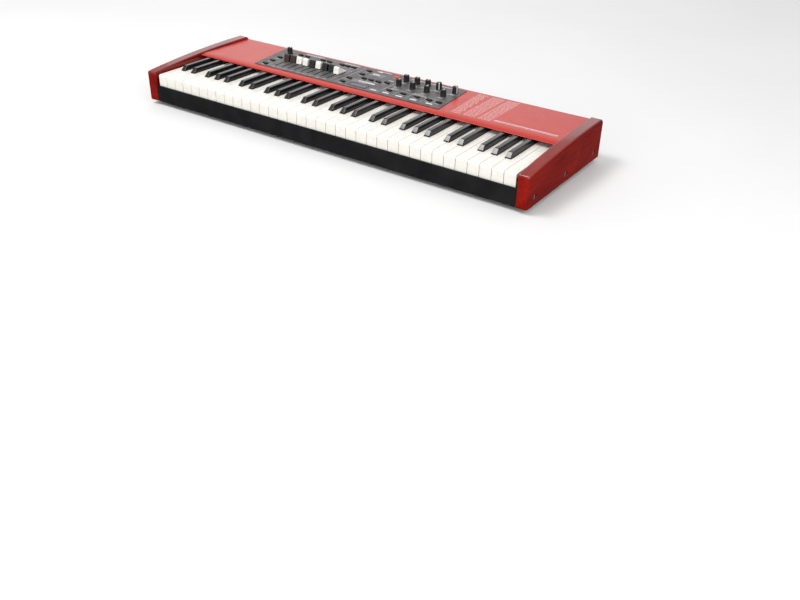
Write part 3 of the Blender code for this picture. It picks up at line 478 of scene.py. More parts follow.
def ease(bm, width, segments=2, limit=50.0):
    """Rounds every edge that is sharper than the limit."""
    bmesh.ops.recalc_face_normals(bm, faces=bm.faces)
    sharp = [
        edge for edge in bm.edges
        if len(edge.link_faces) == 2 and edge.calc_face_angle() > math.radians(limit)
    ]
    bmesh.ops.bevel(
        bm, geom=sharp, offset=width, segments=segments, profile=0.5, affect="EDGES", clamp_overlap=True
    )
    return bm


def mesh_from(name, bm):
    """Turns a working surface into a mesh, and frees it."""
    mesh = bpy.data.meshes.new(name)
    bm.to_mesh(mesh)
    bm.free()
    return mesh


def shaded(mesh, smooth):
    """Shades a mesh smooth, apart from the edges sharper than the angle."""
    mesh.shade_smooth()
    mesh.set_sharp_from_angle(angle=math.radians(smooth))
    return mesh


def add_object(name, data):
    added = bpy.data.objects.new(name, data)
    bpy.context.scene.collection.objects.link(added)
    return added


def finished(name, bm, surface, smooth=40.0):
    bmesh.ops.recalc_face_normals(bm, faces=bm.faces)
    mesh = mesh_from(name, bm)
    mesh.materials.append(FINISH[surface])
    return shaded(mesh, smooth)


def carved(mesh, cutter_bm, smooth=40.0):
    """The mesh with the cutter's shapes taken out of it."""
    bmesh.ops.recalc_face_normals(cutter_bm, faces=cutter_bm.faces)
    base = add_object("carved_base", mesh)
    cutter = add_object("cutter", mesh_from("cutter", cutter_bm))
    boolean = base.modifiers.new("carve", "BOOLEAN")
    boolean.solver = "EXACT"
    boolean.object = cutter
    bpy.context.view_layer.update()
    graph = bpy.context.evaluated_depsgraph_get()
    result = bpy.data.meshes.new_from_object(base.evaluated_get(graph))
    for scrap in (base, cutter):
        bpy.data.objects.remove(scrap, do_unlink=True)
    return shaded(result, smooth)


def place(name, mesh, body, at=(0.0, 0.0, 0.0), turn=(0.0, 0.0, 0.0), replaces=()):
    """Adds a piece that rides on a body, and hides the nodes of the model that it stands for."""
    piece = add_object(name, mesh)
    piece.location = at
    piece.rotation_euler = turn
    shading = piece.modifiers.new("even_shading", "WEIGHTED_NORMAL")
    shading.keep_sharp = True
    if replaces:
        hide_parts(*replaces)
    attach(piece, body)


def add_piece(name, bm, surface, body="case", smooth=40.0, replaces=()):
    """Finishes a working surface and places it where it was drawn."""
    place(name, finished(name, bm, surface, smooth), body, replaces=replaces)


# ---------------------------------------------------------------- case
def cheek_outline():
    """Side view of a cheek: upright ends, round top corners and a top that rises towards the rear."""
    low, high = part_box("left_cheek")
    front_corner = 0.005
    rear_corner = 0.010
    front_rise_z = 0.0692
    crown_power = 2.2
    crown_steps = 28
    start_y = low.y + front_corner
    end_y = high.y - rear_corner
    points = arc((start_y, front_rise_z - front_corner), front_corner, front_corner, 180, 110, 8)
    for step in range(1, crown_steps + 1):
        share = step / crown_steps
        rise = (high.z - front_rise_z) * (1 - (1 - share) ** crown_power)
        points.append((start_y + (end_y - start_y) * share, front_rise_z + rise))
    points += arc((end_y, high.z - rear_corner), rear_corner, rear_corner, 80, 0, 10)
    return [(low.y, low.z)] + points + [(high.y, low.z)]


def build_cheeks():
    screw = hex_screw_mesh(0.0042, 0.0011)
    washer = finished("cheek_washer", ring_mesh(0.0043, 0.0062, 0.0006), "nickel")
    well_depth = 0.0022
    well_radius = 0.0066
    well_z = 0.0235
    end_inset = 0.026
    for side, name in ((-1, "left_cheek"), (1, "right_cheek")):
        low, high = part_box(name)
        bm = ease(prism_mesh(cheek_outline(), "X", low.x, high.x), 0.0022, 5, 60.0)
        outer_x = high.x if side > 0 else low.x
        seat_x = outer_x - side * well_depth
        spots = (low.y + end_inset, 0.0, high.y - end_inset)
        wells = bmesh.new()
        for y in spots:
            reach = sorted((outer_x + side * 0.001, seat_x))
            add_prism(wells, circle(y, well_z, well_radius, 40), "X", *reach)
        mesh = carved(finished(name + "_wood", bm, "wood"), wells)
        place(name + "_wood", mesh, "case", replaces=[name])
        turn = (0.0, side * math.pi / 2, 0.0)
        for number, y in enumerate(spots, 1):
            seat = (seat_x, y, well_z)
            place(f"{name}_washer_{number}", washer, "case", seat, turn)
            place(f"{name}_screw_{number}", screw, "case", seat, turn)


def hex_screw_mesh(radius, height):
    """A low screw head about Z, with a hexagon socket."""
    head = finished("hex_screw", turned([
        (radius * 0.96, 0.0), (radius, height * 0.15), (radius, height * 0.7),
        (radius * 0.93, height * 0.93), (radius * 0.84, height),
    ]), "nickel")
    socket = prism_mesh(circle(0, 0, radius * 0.5, 6), "Z", height * 0.15, height * 2)
    return carved(head, socket)


def cross_screw_mesh(radius, height):
    """A pan-head screw about Z, with a cross recess."""
    profile = [(radius * 0.98, 0.0), (radius, height * 0.25)]
    for step in range(1, 6):
        turn = math.radians(18 * step)
        reach = max(radius * math.cos(turn), radius * 0.12)
        profile.append((reach, height * (0.25 + 0.75 * math.sin(turn))))
    head = finished("cross_screw", turned(profile), "black_steel", 60.0)
    slot_width = radius * 0.26
    recess = bmesh.new()
    add_prism(recess, rectangle(0, 0, radius * 1.15, slot_width), "Z", height * 0.35, height * 2)
    add_prism(recess, rectangle(0, 0, slot_width, radius * 1.15), "Z", height * 0.352, height * 2.1)
    return carved(head, recess)


def cover_outline():
    """Side view of the folded cover: rolled nose, flat top, rear bend and rear wall."""
    low = low_of("top_cover")
    nose_centre = (NOSE_FRONT_Y + NOSE_DEPTH, COVER_TOP_Z - NOSE_DROP)
    bend_centre = (COVER_REAR_Y - BEND_RADIUS, COVER_TOP_Z - BEND_RADIUS)
    inner_bend = BEND_RADIUS - SHEET
    outer = arc(nose_centre, NOSE_DEPTH, NOSE_DROP, 180, 90, 32)
    outer += arc(bend_centre, BEND_RADIUS, BEND_RADIUS, 90, 0, 10)
    outer.append((COVER_REAR_Y, low.z))
    inner = [(COVER_REAR_Y - SHEET, low.z)]
    inner += arc(bend_centre, inner_bend, inner_bend, 0, 90, 10)
    inner += arc(nose_centre, NOSE_DEPTH - SHEET, NOSE_DROP - SHEET, 90, 180, 24)
    return outer + inner


def plate_corners(rim=0.0):
    front_left, front_right = PLATE_FRONT_CORNERS
    rear_left, rear_right = PLATE_REAR_CORNERS
    front, rear = PLATE_Y
    return [
        (front_left + rim, front + rim),
        (front_right - rim, front + rim),
        (rear_right - rim, rear - rim),
        (rear_left + rim, rear - rim),
    ]


def build_cover():
    low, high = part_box("top_cover")
    mesh = finished("cover_sheet", prism_mesh(cover_outline(), "X", low.x, high.x), "red", 30.0)
    cuts = bmesh.new()
    add_prism(cuts, plate_corners(PLATE_RIM), "Z", COVER_TOP_Z - 0.003, COVER_TOP_Z + 0.001)
    inlet_z = (low_of("power_inlet").z, high_of("power_inlet").z)
    for node, window_z in (("jack_board", JACK_WINDOW_Z), ("power_inlet", inlet_z)):
        width = high_of(node).x - low_of(node).x + 2 * GAP
        height = window_z[1] - window_z[0] + 2 * GAP
        outline = rectangle(middle_of(node)[0], sum(window_z) / 2, width, height)
        add_prism(cuts, outline, "Y", COVER_REAR_Y - 0.005, COVER_REAR_Y + 0.005)
    place("cover_sheet", carved(mesh, cuts, 30.0), "case", replaces=["top_cover"])
    screw = cross_screw_mesh(0.0033, 0.0011)
    screw_z = 0.0155
    for number, x in enumerate((-0.405, -0.270, -0.135, 0.000, 0.300, 0.415), 1):
        place(f"rear_screw_{number}", screw, "case", (x, COVER_REAR_Y, screw_z), REARWARD)


def dash_row(x, y, z, depth, gap, lengths):
    """A row of plain dashes that starts at X and runs to the right."""
    boxes = []
    for length in lengths:
        boxes.append(centred_box(x + length / 2, y, length, depth, *z))
        x += length + gap
    return boxes


def build_cover_print():
    """Rows of plain dashes in three columns, and one plain rule, printed on the red cover."""
    boxes = []
    top = (COVER_TOP_Z + 0.00001, COVER_TOP_Z + 0.00008)
    first_x = 0.1925
    column_pitch = 0.0325
    first_y = 0.0165
    row_pitch = 0.0060
    for column in range(3):
        for row in range(20):
            x = first_x + column_pitch * column
            y = first_y + row * row_pitch
            if column == 0:
                # The first column keeps clear of the plate's leaning end.
                x += 0.008 * (PLATE_Y[1] - y) / (PLATE_Y[1] - PLATE_Y[0])
            steps = [(row * 5 + column * 3 + part * 7) % 4 for part in range(4 if column else 3)]
            boxes += dash_row(x, y, top, 0.0016, 0.0011, [0.0040 + 0.0012 * step for step in steps])
    add_piece("cover_dashes", loose_boxes(boxes), "soft_ink")
    lines = [(0.0245, 0.0022), (0.0200, 0.0008)]
    rule = [centred_box(0.3525, y, 0.128, depth, *top) for y, depth in lines]
    add_piece("cover_rule", loose_boxes(rule), "ink")


def loose_boxes(boxes):
    """Separate boxes in one mesh."""
    bm = bmesh.new()
    for low, high in boxes:
        outline = [(low[0], low[1]), (high[0], low[1]), (high[0], high[1]), (low[0], high[1])]
        add_prism(bm, outline, "Z", low[2], high[2])
    return bm


def build_slip():
    low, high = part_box("key_slip")
    radius = 0.0011
    outline = [(low.y, low.z), (high.y, low.z)]
    outline += arc((high.y - radius, high.z - radius), radius, radius, 0, 90, 6)
    outline += arc((low.y + radius, high.z - radius), radius, radius, 90, 180, 6)
    rail = prism_mesh(outline, "X", low.x, high.x)
    add_piece("key_slip_rail", rail, "black_steel", "case", replaces=["key_slip"])


def build_feet():
    profile = [
        (0.0052, 0.0004), (0.0086, 0.0000), (0.0096, 0.0006), (0.0100, 0.0020), (0.0100, 0.0034),
        (0.0095, 0.0038), (0.0100, 0.0042), (0.0104, 0.0072), (0.0100, 0.0077), (0.0030, 0.0077),
        (0.0030, 0.0095),
    ]
    rubber = finished("rubber_foot", turned(profile, 56), "rubber", 50.0)
    for corner in ("front_left", "front_right", "rear_left", "rear_right"):
        foot = "foot_" + corner
        at = (*middle_of(foot)[:2], low_of(foot).z)
        place("rubber_foot_" + corner, rubber, "case", at, replaces=[foot])
    screw = cross_screw_mesh(0.0034, 0.0012)
    pan_z = low_of("bottom_pan").z
    spots = [(x, y, pan_z) for x in (-0.300, -0.100, 0.100, 0.300) for y in (-0.122, 0.124)]
    for number, at in enumerate(spots, 1):
        place(f"pan_screw_{number}", screw, "case", at, (math.pi, 0.0, 0.0))


# ---------------------------------------------------------------- keys
def white_span(note):
    """Head and tail extents of a white key, measured from the left end of its octave."""
    index = WHITES.index(note)
    left = index * KEY_PITCH + KEY_GAP / 2
    right = (index + 1) * KEY_PITCH - KEY_GAP / 2
    reach = SHARP_HALF_WIDTH + SHARP_CLEARANCE
    tail_left = left
    tail_right = right
    before = WHITES[index - 1]
    if index and before in SHARP_AFTER:
        tail_left = index * KEY_PITCH + SHARP_AFTER[before] + reach
    if note in SHARP_AFTER:
        tail_right = (index + 1) * KEY_PITCH + SHARP_AFTER[note] - reach
    return left, right, tail_left, tail_right


def white_key_mesh(name, spans, end_y):
    """A waterfall key: rounded front edge, head, neck, stepped stem and rear foot."""
    left, right, tail_left, tail_right = spans
    bar_y = end_y - BAR_DEPTH
    bm = block_mesh([
        ((left, KEY_FRONT_Y, WHITE_TOP_Z - HEAD_DEPTH), (right, NECK_Y, WHITE_TOP_Z)),
        ((left, KEY_FRONT_Y, SKIRT_UNDER_Z), (right, KEY_FRONT_Y + SKIRT_THICKNESS, WHITE_TOP_Z)),
        ((tail_left, NECK_Y - 0.003, TAIL_UNDER_Z), (tail_right, STEP_Y, WHITE_TOP_Z)),
        ((tail_left, STEP_Y, TAIL_UNDER_Z), (tail_right, end_y, STEM_TOP_Z)),
        ((tail_left, bar_y, BAR_UNDER_Z), (tail_right, end_y, STEM_TOP_Z)),
    ])
    front_edge = [
        edge for edge in bm.edges
        if all(v.co.y < KEY_FRONT_Y + 1e-5 and v.co.z > WHITE_TOP_Z - 1e-5 for v in edge.verts)
    ]
    bmesh.ops.bevel(bm, geom=front_edge, offset=0.0042, segments=9, profile=0.5, affect="EDGES")
    return finished(name, ease(bm, 0.0005, 3, 60.0), "ivory", 35.0)


def sharp_key_mesh(end_y):
    """A sharp about X = 0: crowned cap with a sloping front, on a stem with a rear foot."""
    foot_z = STEM_TOP_Z - 0.002
    shoulder_z = WHITE_TOP_Z + 0.001
    slope = 0.009
    cap_end_y = -0.0015
    levels = [
        (foot_z, SHARP_HALF_WIDTH, SHARP_FRONT_Y),
        (shoulder_z, SHARP_HALF_WIDTH, SHARP_FRONT_Y),
        (SHARP_TOP_Z, SHARP_TOP_HALF_WIDTH, SHARP_FRONT_Y + slope),
    ]
    bm = stack_mesh([
        [(-half, front, z), (half, front, z), (half, cap_end_y, z), (-half, cap_end_y, z)]
        for z, half, front in levels
    ])
    ease(bm, 0.0011, 4, 20.0)
    stem = SHARP_HALF_WIDTH - GAP
    bar_y = end_y - BAR_DEPTH
    body = block_mesh([
        ((-stem, SHARP_FRONT_Y + 0.001, TAIL_UNDER_Z), (stem, end_y, STEM_TOP_Z)),
        ((-stem, bar_y, BAR_UNDER_Z), (stem, end_y, STEM_TOP_Z)),
    ])
    ease(body, 0.0004, 2, 60.0)
    bm.from_mesh(mesh_from("sharp_stem", body))
    return finished("sharp_key", bm, "ebony", 35.0)


def build_keys():
    whites = {}
    for kind, notes in (("whites_ceg", "CEGB"), ("whites_dfa", "DFA")):
        end_y = high_of(f"keys_{kind}_1").y
        for note in notes:
            whites[note] = (kind, white_key_mesh("white_key_" + note, white_span(note), end_y))
    sharp = sharp_key_mesh(high_of("keys_sharps_1").y)
    for octave in range(OCTAVES):
        at = (KEYBOARD_LEFT + octave * OCTAVE_WIDTH, 0.0, 0.0)
        for note, (kind, mesh) in whites.items():
            comb = f"keys_{kind}_{octave + 1}"
            place(f"key_{note}{octave + 1}", mesh, comb, at, replaces=[comb])
        comb = f"keys_sharps_{octave + 1}"
        for note, shift in SHARP_AFTER.items():
            x = at[0] + (WHITES.index(note) + 1) * KEY_PITCH + shift
            place(f"key_{note}_sharp{octave + 1}", sharp, comb, (x, 0.0, 0.0), replaces=[comb])
    low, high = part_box("key_top_c")
    mesh = white_key_mesh("white_key_top", (low.x, high.x, low.x, high.x), high.y)
    place("key_C6", mesh, "key_top_c", replaces=["key_top_c"])


# ---------------------------------------------------------------- control panel
def build_plate():
    bm = ease(prism_mesh(plate_corners(), "Z", PLATE_UNDER_Z, PLATE_TOP_Z), 0.00015)
    slot_width = DRAWBAR_STEM[0] + 0.0006
    slot_rear = DRAWBAR_STEM_Y + DRAWBAR_STEM[1] / 2 + GAP
    slot_front = slot_rear - DRAWBAR_TRAVEL - DRAWBAR_STEM[1] - 2 * GAP
    slot_y = (slot_front + slot_rear) / 2
    outlines = [rectangle(x, slot_y, slot_width, slot_rear - slot_front) for x in DRAWBAR_X]
    outlines += [circle(x, y, 0.0036, 32) for x, y in KNOB_CENTRES]
    for _, x, y in ALL_BUTTONS:
        outlines.append(obround(x, y, BUTTON_LENGTH + 2 * GAP, BUTTON_WIDTH + 2 * GAP))
    low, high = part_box("display_window")
    x, y, _ = middle_of("display_window")
    outlines.append(rectangle(x, y, high.x - low.x + 2 * GAP, high.y - low.y + 2 * GAP))
    cuts = bmesh.new()
    for outline in outlines:
        add_prism(cuts, outline, "Z", PLATE_UNDER_Z - 0.001, PLATE_TOP_Z + 0.001)
    mesh = carved(finished("panel_plate", bm, "panel"), cuts)
    place("panel_plate", mesh, "case", replaces=["control_panel"])


def build_panel_print():
    """Plain printed marks: section rules, slot scales, knob ticks, button bars and label strips."""
    z = (PLATE_TOP_Z + 0.00001, PLATE_TOP_Z + 0.00007)
    slot_front = DRAWBAR_STEM_Y - DRAWBAR_TRAVEL - 0.003
    slot_rear = DRAWBAR_STEM_Y + 0.003
    # Each bar is given by its middle, its width and its depth.
    bars = []
    for x in DRAWBAR_X:
        for step in range(9):
            y = slot_front + (slot_rear - slot_front) * step / 8
            bars += [(x - 0.0042, y, 0.0016, 0.0004), (x + 0.0042, y, 0.0016, 0.0004)]
    bars += [(x, 0.0705, 0.0005, 0.110) for x in (-0.2565, -0.0905, -0.0775, 0.0285)]
    bars += [
        (0.1000, 0.0500, 0.1330, 0.0005),
        (-0.1735, 0.1215, 0.1500, 0.0005),
        (-0.1735, 0.1010, 0.1500, 0.0005),
        (0.0950, 0.0910, 0.1300, 0.0005),
    ]
    bars += [(x, 0.0340, 0.0005, 0.0260) for x in (0.0620, 0.0930, 0.1260, 0.1480)]
    bars += [(x, 0.0230, 0.0150, 0.0050) for x in (0.0155, 0.0450, 0.0770, 0.1100, 0.1466)]
    bars += [
        (-0.0210, 0.0505, 0.0400, 0.0060),
        (-0.0350, 0.1035, 0.0170, 0.0060),
        (-0.0390, 0.1225, 0.0130, 0.0040),
        (0.0130, 0.0885, 0.0120, 0.0022),
        (-0.2150, 0.1255, 0.0500, 0.0024),
        (-0.1150, 0.1255, 0.0400, 0.0024),
        (0.0950, 0.1235, 0.1100, 0.0022),
        (-0.0260, 0.1255, 0.0300, 0.0022),
    ]
    for index, x, y in ALL_BUTTONS:
        bars.append((x - 0.0015, y - 0.0060, 0.0060 - 0.0012 * (index % 3), 0.0009))
    bars += [(x - 0.001, y - 0.0114, 0.0084, 0.0012) for x, y in KNOB_CENTRES]
    add_piece("panel_print", loose_boxes([centred_box(*bar, *z) for bar in bars]), "ink")
    add_piece("panel_legends", loose_boxes(legends(z)), "grey_ink")

    ticks = bmesh.new()
    for x, y in KNOB_CENTRES:
        for step in range(11):
            turn = math.radians(240 - 30 * step)
            spot = Vector((x + 0.0084 * math.cos(turn), y + 0.0084 * math.sin(turn), 0.0))
            across = Vector((-math.sin(turn), math.cos(turn), 0.0)) * 0.0002
            along = Vector((math.cos(turn), math.sin(turn), 0.0)) * 0.0006
            inner = spot - along
            outer = spot + along
            corners = (inner - across, outer - across, outer + across, inner + across)
            add_prism(ticks, [(corner.x, corner.y) for corner in corners], "Z", *z)
    add_piece("knob_ticks", ticks, "ink")


def legends(z):
    """Plain dashes in short rows, beside the slots, the buttons and the knobs."""
    boxes = []

    def row(x, y, count, start):
        lengths = [0.0022 + 0.0009 * ((start + part * 5) % 4) for part in range(count)]
        boxes.extend(dash_row(x, y, z, 0.0013, 0.0009, lengths))

    for index, x in enumerate(DRAWBAR_X):
        row(x - 0.0060, 0.0190, 3, index)
        row(x - 0.0060, 0.0160, 2, index + 2)
        row(x - 0.0060, 0.0935, 3, index + 1)
    for index, x, y in ALL_BUTTONS:
        row(x - 0.0060, y - 0.0085, 3, index)
        row(x - 0.0060, y + 0.0062, 2, index + 3)
    for index, (x, y) in enumerate(KNOB_CENTRES):
        row(x - 0.0080, y - 0.0140, 4, index)
        row(x - 0.0080, y + 0.0115, 3, index + 2)
    for line in range(4):
        row(-0.0550, 0.0425 + 0.0038 * line, 9, line)
        row(0.0390, 0.0460 + 0.0030 * line, 2 + line, line)
        row(-0.0480, 0.0950 + 0.0042 * line, 8, line + 1)
        row(0.0900, 0.0480 + 0.0030 * line, 8 - line, line)
    return boxes


def build_lamps():
    """Small unlit lamps: one behind each button, and a column and two rows of four between them."""
    dome = [(0.0009, 0.0), (0.0009, 0.0002), (0.0008, 0.0004), (0.0006, 0.0006), (0.0003, 0.0007)]
    spots = [(x + 0.0040, y + 0.0058) for _, x, y in ALL_BUTTONS]
    for index in range(4):
        spots.append((-0.0425 + 0.0048 * index, 0.0955))
        spots.append((0.0345, 0.0560 + 0.0042 * index))
        spots.append((-0.0455 + 0.0048 * index, 0.0400))
    bm = bmesh.new()
    for x, y in spots:
        add_turned(bm, dome, 12, x, y, PLATE_TOP_Z)
    add_piece("panel_lamps", bm, "lamp", smooth=60.0)


def build_display():
    low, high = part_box("display_window")
    glass = ease(block_mesh([(tuple(low), tuple(high))]), 0.0003, 3)
    add_piece("display_glass", glass, "glass", "case", replaces=["display_window"])
    x, y, _ = middle_of("display_window")
    z = (PLATE_TOP_Z, PLATE_TOP_Z + 0.0003)
    rim = 0.0009
    width = high.x - low.x + 4 * rim
    depth = high.y - low.y + 4 * rim
    bars = [centred_box(x, edge, width, rim, *z) for edge in (low.y - rim, high.y + rim)]
    bars += [centred_box(edge, y, rim, depth, *z) for edge in (low.x - rim, high.x + rim)]
    add_piece("display_frame", ease(block_mesh(bars), 0.0001), "plastic", "case")


def drawbar_mesh(name, surface):
    """A drawbar cap about its stem: tall ribbed front, rounded crest, a slope that falls to the rear."""
    low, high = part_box("drawbar_1")
    under = PLATE_TOP_Z + 0.0007
    front = low.y - DRAWBAR_STEM_Y
    rear = high.y - DRAWBAR_STEM_Y
    crest = 0.0030
    centre = (front + CAP_LEAN + crest, high.z - crest)
    outline = [(front, under)]
    outline += arc(centre, crest, crest, 175, 60, 12)
    slope_end = (rear, under + 0.0025)
    knee = (front + 0.0155, under + 0.0070)
    start = outline[-1]
    for step in range(1, 12):
        share = step / 12
        weights = ((1 - share) ** 2, 2 * share * (1 - share), share ** 2)
        outline.append(tuple(
            weights[0] * a + weights[1] * b + weights[2] * c for a, b, c in zip(start, knee, slope_end)
        ))
    outline += [slope_end, (rear, under)]
    bm = ease(prism_mesh(outline, "X", -CAP_WIDTH / 2, CAP_WIDTH / 2), 0.0008, 3, 45.0)
    for step in range(4):
        share = 0.25 + 0.16 * step
        rib = (front + CAP_LEAN * share, under + (high.z - under) * share)
        add_prism(bm, circle(*rib, 0.00035, 10), "X", -CAP_WIDTH / 2 + 0.0014, CAP_WIDTH / 2 - 0.0014)
    stem_width, stem_depth = DRAWBAR_STEM
    stem = centred_box(0.0, 0.0, stem_width, stem_depth, low.z, under + 0.001)
    add_prism(bm, rectangle(0.0, 0.0, stem_width, stem_depth), "Z", stem[0][2], stem[1][2])
    return finished(name, bm, surface, 35.0)


def build_drawbars():
    slots = {row["node"]: row["material_slot"] for row in frame["record"]["subparts"]}
    surfaces = {"brown_plastic": "brown", "white_plastic": "white", "ebony": "ebony"}
    meshes = {slot: drawbar_mesh("drawbar_cap_" + slot, surface) for slot, surface in surfaces.items()}
    for number, x in enumerate(DRAWBAR_X, 1):
        name = f"drawbar_{number}"
        slot = slots[name]
        y = DRAWBAR_STEM_Y + low_of(name).y - low_of("drawbar_1").y
        place(name + "_cap", meshes[slot], name, (x, y, 0.0), replaces=[name])


def knob_sizes():
    """A knob's radius, and how high its underside and its crown stand above the plate."""
    low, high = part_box("knob_level")
    return (high.x - low.x) / 2, low.z - PLATE_TOP_Z, high.z - PLATE_TOP_Z


def knob_mesh():
    """A fluted knob about Z = 0 at the plate's top: skirt, waist, grip flutes and a dished top."""
    radius, base, top = knob_sizes()
    flutes = 14
    per_flute = 6
    count = flutes * per_flute
    levels = [
        (0.0030, base, 0.0),
        (0.0030, 0.0007, 0.0),
        (radius * 0.985, 0.0007, 0.0),
        (radius, 0.0010, 0.0),
        (radius, 0.0019, 0.0),
        (radius * 0.975, 0.0024, 0.4),
        (radius * 0.965, 0.0030, 1.0),
        (radius * 0.930, top - 0.0012, 1.0),
        (radius * 0.900, top - 0.0005, 0.6),
        (radius * 0.840, top - 0.0001, 0.0),
        (radius * 0.780, top, 0.0),
        (radius * 0.600, top - 0.0002, 0.0),
        (radius * 0.200, top - 0.0003, 0.0),
    ]
    rings = []
    for reach, height, depth in levels:
        ring = []
        for index in range(count):
            turn = 2 * math.pi * index / count
            wave = 0.5 - 0.5 * math.cos(2 * math.pi * index / per_flute)
            dent = 1 - 0.055 * depth * wave
            ring.append((reach * dent * math.cos(turn), reach * dent * math.sin(turn), height))
        rings.append(ring)
    return finished("knob", stack_mesh(rings), "plastic", 50.0)


def pointer_mesh():
    """White line over the knob's crown and down its side, towards +Y; Z = 0 is the plate's top."""
    radius, _, top = knob_sizes()
    half = 0.00070
    path = [
        (0.0012, top + 0.00012), (radius * 0.78, top + 0.00020), (radius * 0.87, top + 0.00008),
        (radius * 0.935, top - 0.0006), (radius * 0.960, top - 0.0012), (radius * 0.995, 0.0030),
        (radius * 1.015, 0.0022), (radius * 1.020, 0.0009),
    ]
    inner = [(y - 0.0008, z - 0.0006) for y, z in path]
    outline = path + list(reversed(inner))
    return finished("pointer", prism_mesh(outline, "X", -half, half), "white")


def build_knobs():
    knob = knob_mesh()
    pointer = pointer_mesh()
    for joint in KNOB_JOINTS:
        name = joint["child"]
        x, y = joint["pos_m"][:2]
        # The pointer faces the rear when its joint is at the middle of its range.
        middle = math.radians(sum(joint["range_deg"]) / 2)
        at = (x, y, PLATE_TOP_Z)
        place(name + "_grip", knob, name, at, (0.0, 0.0, -middle), replaces=[name])
        place(name + "_pointer", pointer, name, at, (0.0, 0.0, -middle))


def button_mesh(name, surface):
    """A button cap about its own centre: straight wall, eased rim and a shallow dish."""
    top = high_of("buttons_organ").z
    base = low_of("buttons_organ").z + 0.0004
    levels = [
        (0.0, base), (0.0, top - 0.0005), (0.00012, top - 0.0002), (0.00035, top - 0.00004),
        (0.0006, top), (0.0010, top - 0.00006), (0.0016, top - 0.00022), (0.0021, top - 0.00030),
    ]
    rings = []
    for inset_by, z in levels:
        outline = obround(0.0, 0.0, BUTTON_LENGTH - 2 * inset_by, BUTTON_WIDTH - 2 * inset_by)
        rings.append([(*point, z) for point in outline])
    return finished(name, stack_mesh(rings), surface, 50.0)


def web(points, z):
    """Straight stretches between points, each along X or along Y."""
    boxes = []
    half = WEB_WIDTH / 2
    for (x, y), (next_x, next_y) in zip(points, points[1:]):
        low = (min(x, next_x) - half, min(y, next_y) - half, z)
        high = (max(x, next_x) + half, max(y, next_y) + half, z + WEB_THICKNESS)
        boxes.append((low, high))
    return boxes


def build_buttons():
    dark = button_mesh("button_cap", "button")
    red = button_mesh("red_button_cap", "signal_red")
    z = low_of("buttons_organ").z
    mode = BUTTONS["mode"]
    program = BUTTONS["program"]
    branch_y = program[4][1]
    carriers = {
        "mode": web([(mode[1][0], mode[0][1]), (mode[1][0], mode[2][1])], z),
        "organ": web([BUTTONS["organ"][0], BUTTONS["organ"][-1]], z),
        "program": web([(SPINE_X, program[3][1]), (SPINE_X, program[0][1])], z)
        + web([(SPINE_X, branch_y), (program[7][0], branch_y), (program[7][0], program[8][1])], z),
        "effects": web([BUTTONS["effects"][0], BUTTONS["effects"][-1]], z),
    }
    for group, centres in BUTTONS.items():
        body = "buttons_" + group
        carrier = ease(block_mesh(carriers[group]), 0.0002)
        add_piece("button_carrier_" + group, carrier, "plastic", body, replaces=[body])
        for index, (x, y) in enumerate(centres):
            mesh = red if (group, index) == RED_BUTTON else dark
            place(f"button_{group}_{index + 1}", mesh, body, (x, y, 0.0))


# ---------------------------------------------------------------- rear connectors
def build_connectors():
    nut = finished("jack_nut", ring_mesh(0.0033, 0.0060, 0.0014, 48, 6), "nickel")
    collar = finished("jack_collar", ring_mesh(0.00325, 0.0045, 0.0017, 48), "plastic")
    shell = finished("round_shell", ring_mesh(0.0067, 0.0076, 0.0008, 48), "nickel")
    face = COVER_REAR_Y - GAP
    for number, x in enumerate(JACK_X, 1):
        at = (x, face, SOCKET_Z)
        place(f"jack_nut_{number}", nut, "case", at, REARWARD)
        place(f"jack_collar_{number}", collar, "case", at, REARWARD)
    for number, x in enumerate(ROUND_SOCKET_X, 1):
        place(f"round_socket_shell_{number}", shell, "case", (x, face, SOCKET_Z), REARWARD)
        pins = bmesh.new()
        for spot in arc((x, SOCKET_Z), 0.0040, 0.0040, 180, 360, 4):
            add_prism(pins, circle(*spot, 0.00075, 12), "Y", face - 0.0081, face - 0.0076)
        add_piece(f"round_socket_contacts_{number}", pins, "nickel", "case")
    tongue_z = (SOCKET_Z - 0.0016, SOCKET_Z + 0.0014)
    tongue = block_mesh([centred_box(DATA_SOCKET_X, face - 0.0048, 0.0052, 0.0080, *tongue_z)])
    add_piece("data_socket_tongue", ease(tongue, 0.0003), "white", "case")
    rim = prism_mesh(rectangle(DATA_SOCKET_X, SOCKET_Z, 0.0104, 0.0098), "Y", face, face + 0.0004)
    hole = prism_mesh(rectangle(DATA_SOCKET_X, SOCKET_Z, 0.0088, 0.0082), "Y", face - 0.001, face + 0.001)
    place("data_socket_shell", carved(finished("data_shell", rim, "nickel"), hole), "case")


def build_inlet():
    left, right = MAINS_SOCKET_X
    low_z, high_z = MAINS_SOCKET_Z
    middle = (left + right) / 2
    blades = bmesh.new()
    for shift, rise in ((-0.0070, 0.0066), (0.0070, 0.0066), (0.0, 0.0106)):
        outline = rectangle(middle + shift, low_z + rise, 0.0020, 0.0040)
        add_prism(blades, outline, "Y", FACE_Y - 0.0151, FACE_Y - 0.0040)
    add_piece("mains_pins", ease(blades, 0.0003), "nickel", "case")
    low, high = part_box("power_inlet")
    x, _, z = middle_of("power_inlet")
    outline = rectangle(x, z, high.x - low.x + 0.004, high.z - low.z + 0.004)
    bm = prism_mesh(outline, "Y", COVER_REAR_Y + 0.00005, COVER_REAR_Y + 0.0010)
    flange = finished("inlet_flange", ease(bm, 0.0004, 3), "plastic")
    openings = [
        rectangle(middle, (low_z + high_z) / 2, right - left + 0.0006, high_z - low_z + 0.0006),
        rectangle(middle_of("power_rocker")[0], ROCKER_Z, 0.0156, 0.0226),
    ]
    holes = bmesh.new()
    for outline in openings:
        add_prism(holes, outline, "Y", COVER_REAR_Y - 0.001, COVER_REAR_Y + 0.002)
    place("inlet_flange", carved(flange, holes), "case")


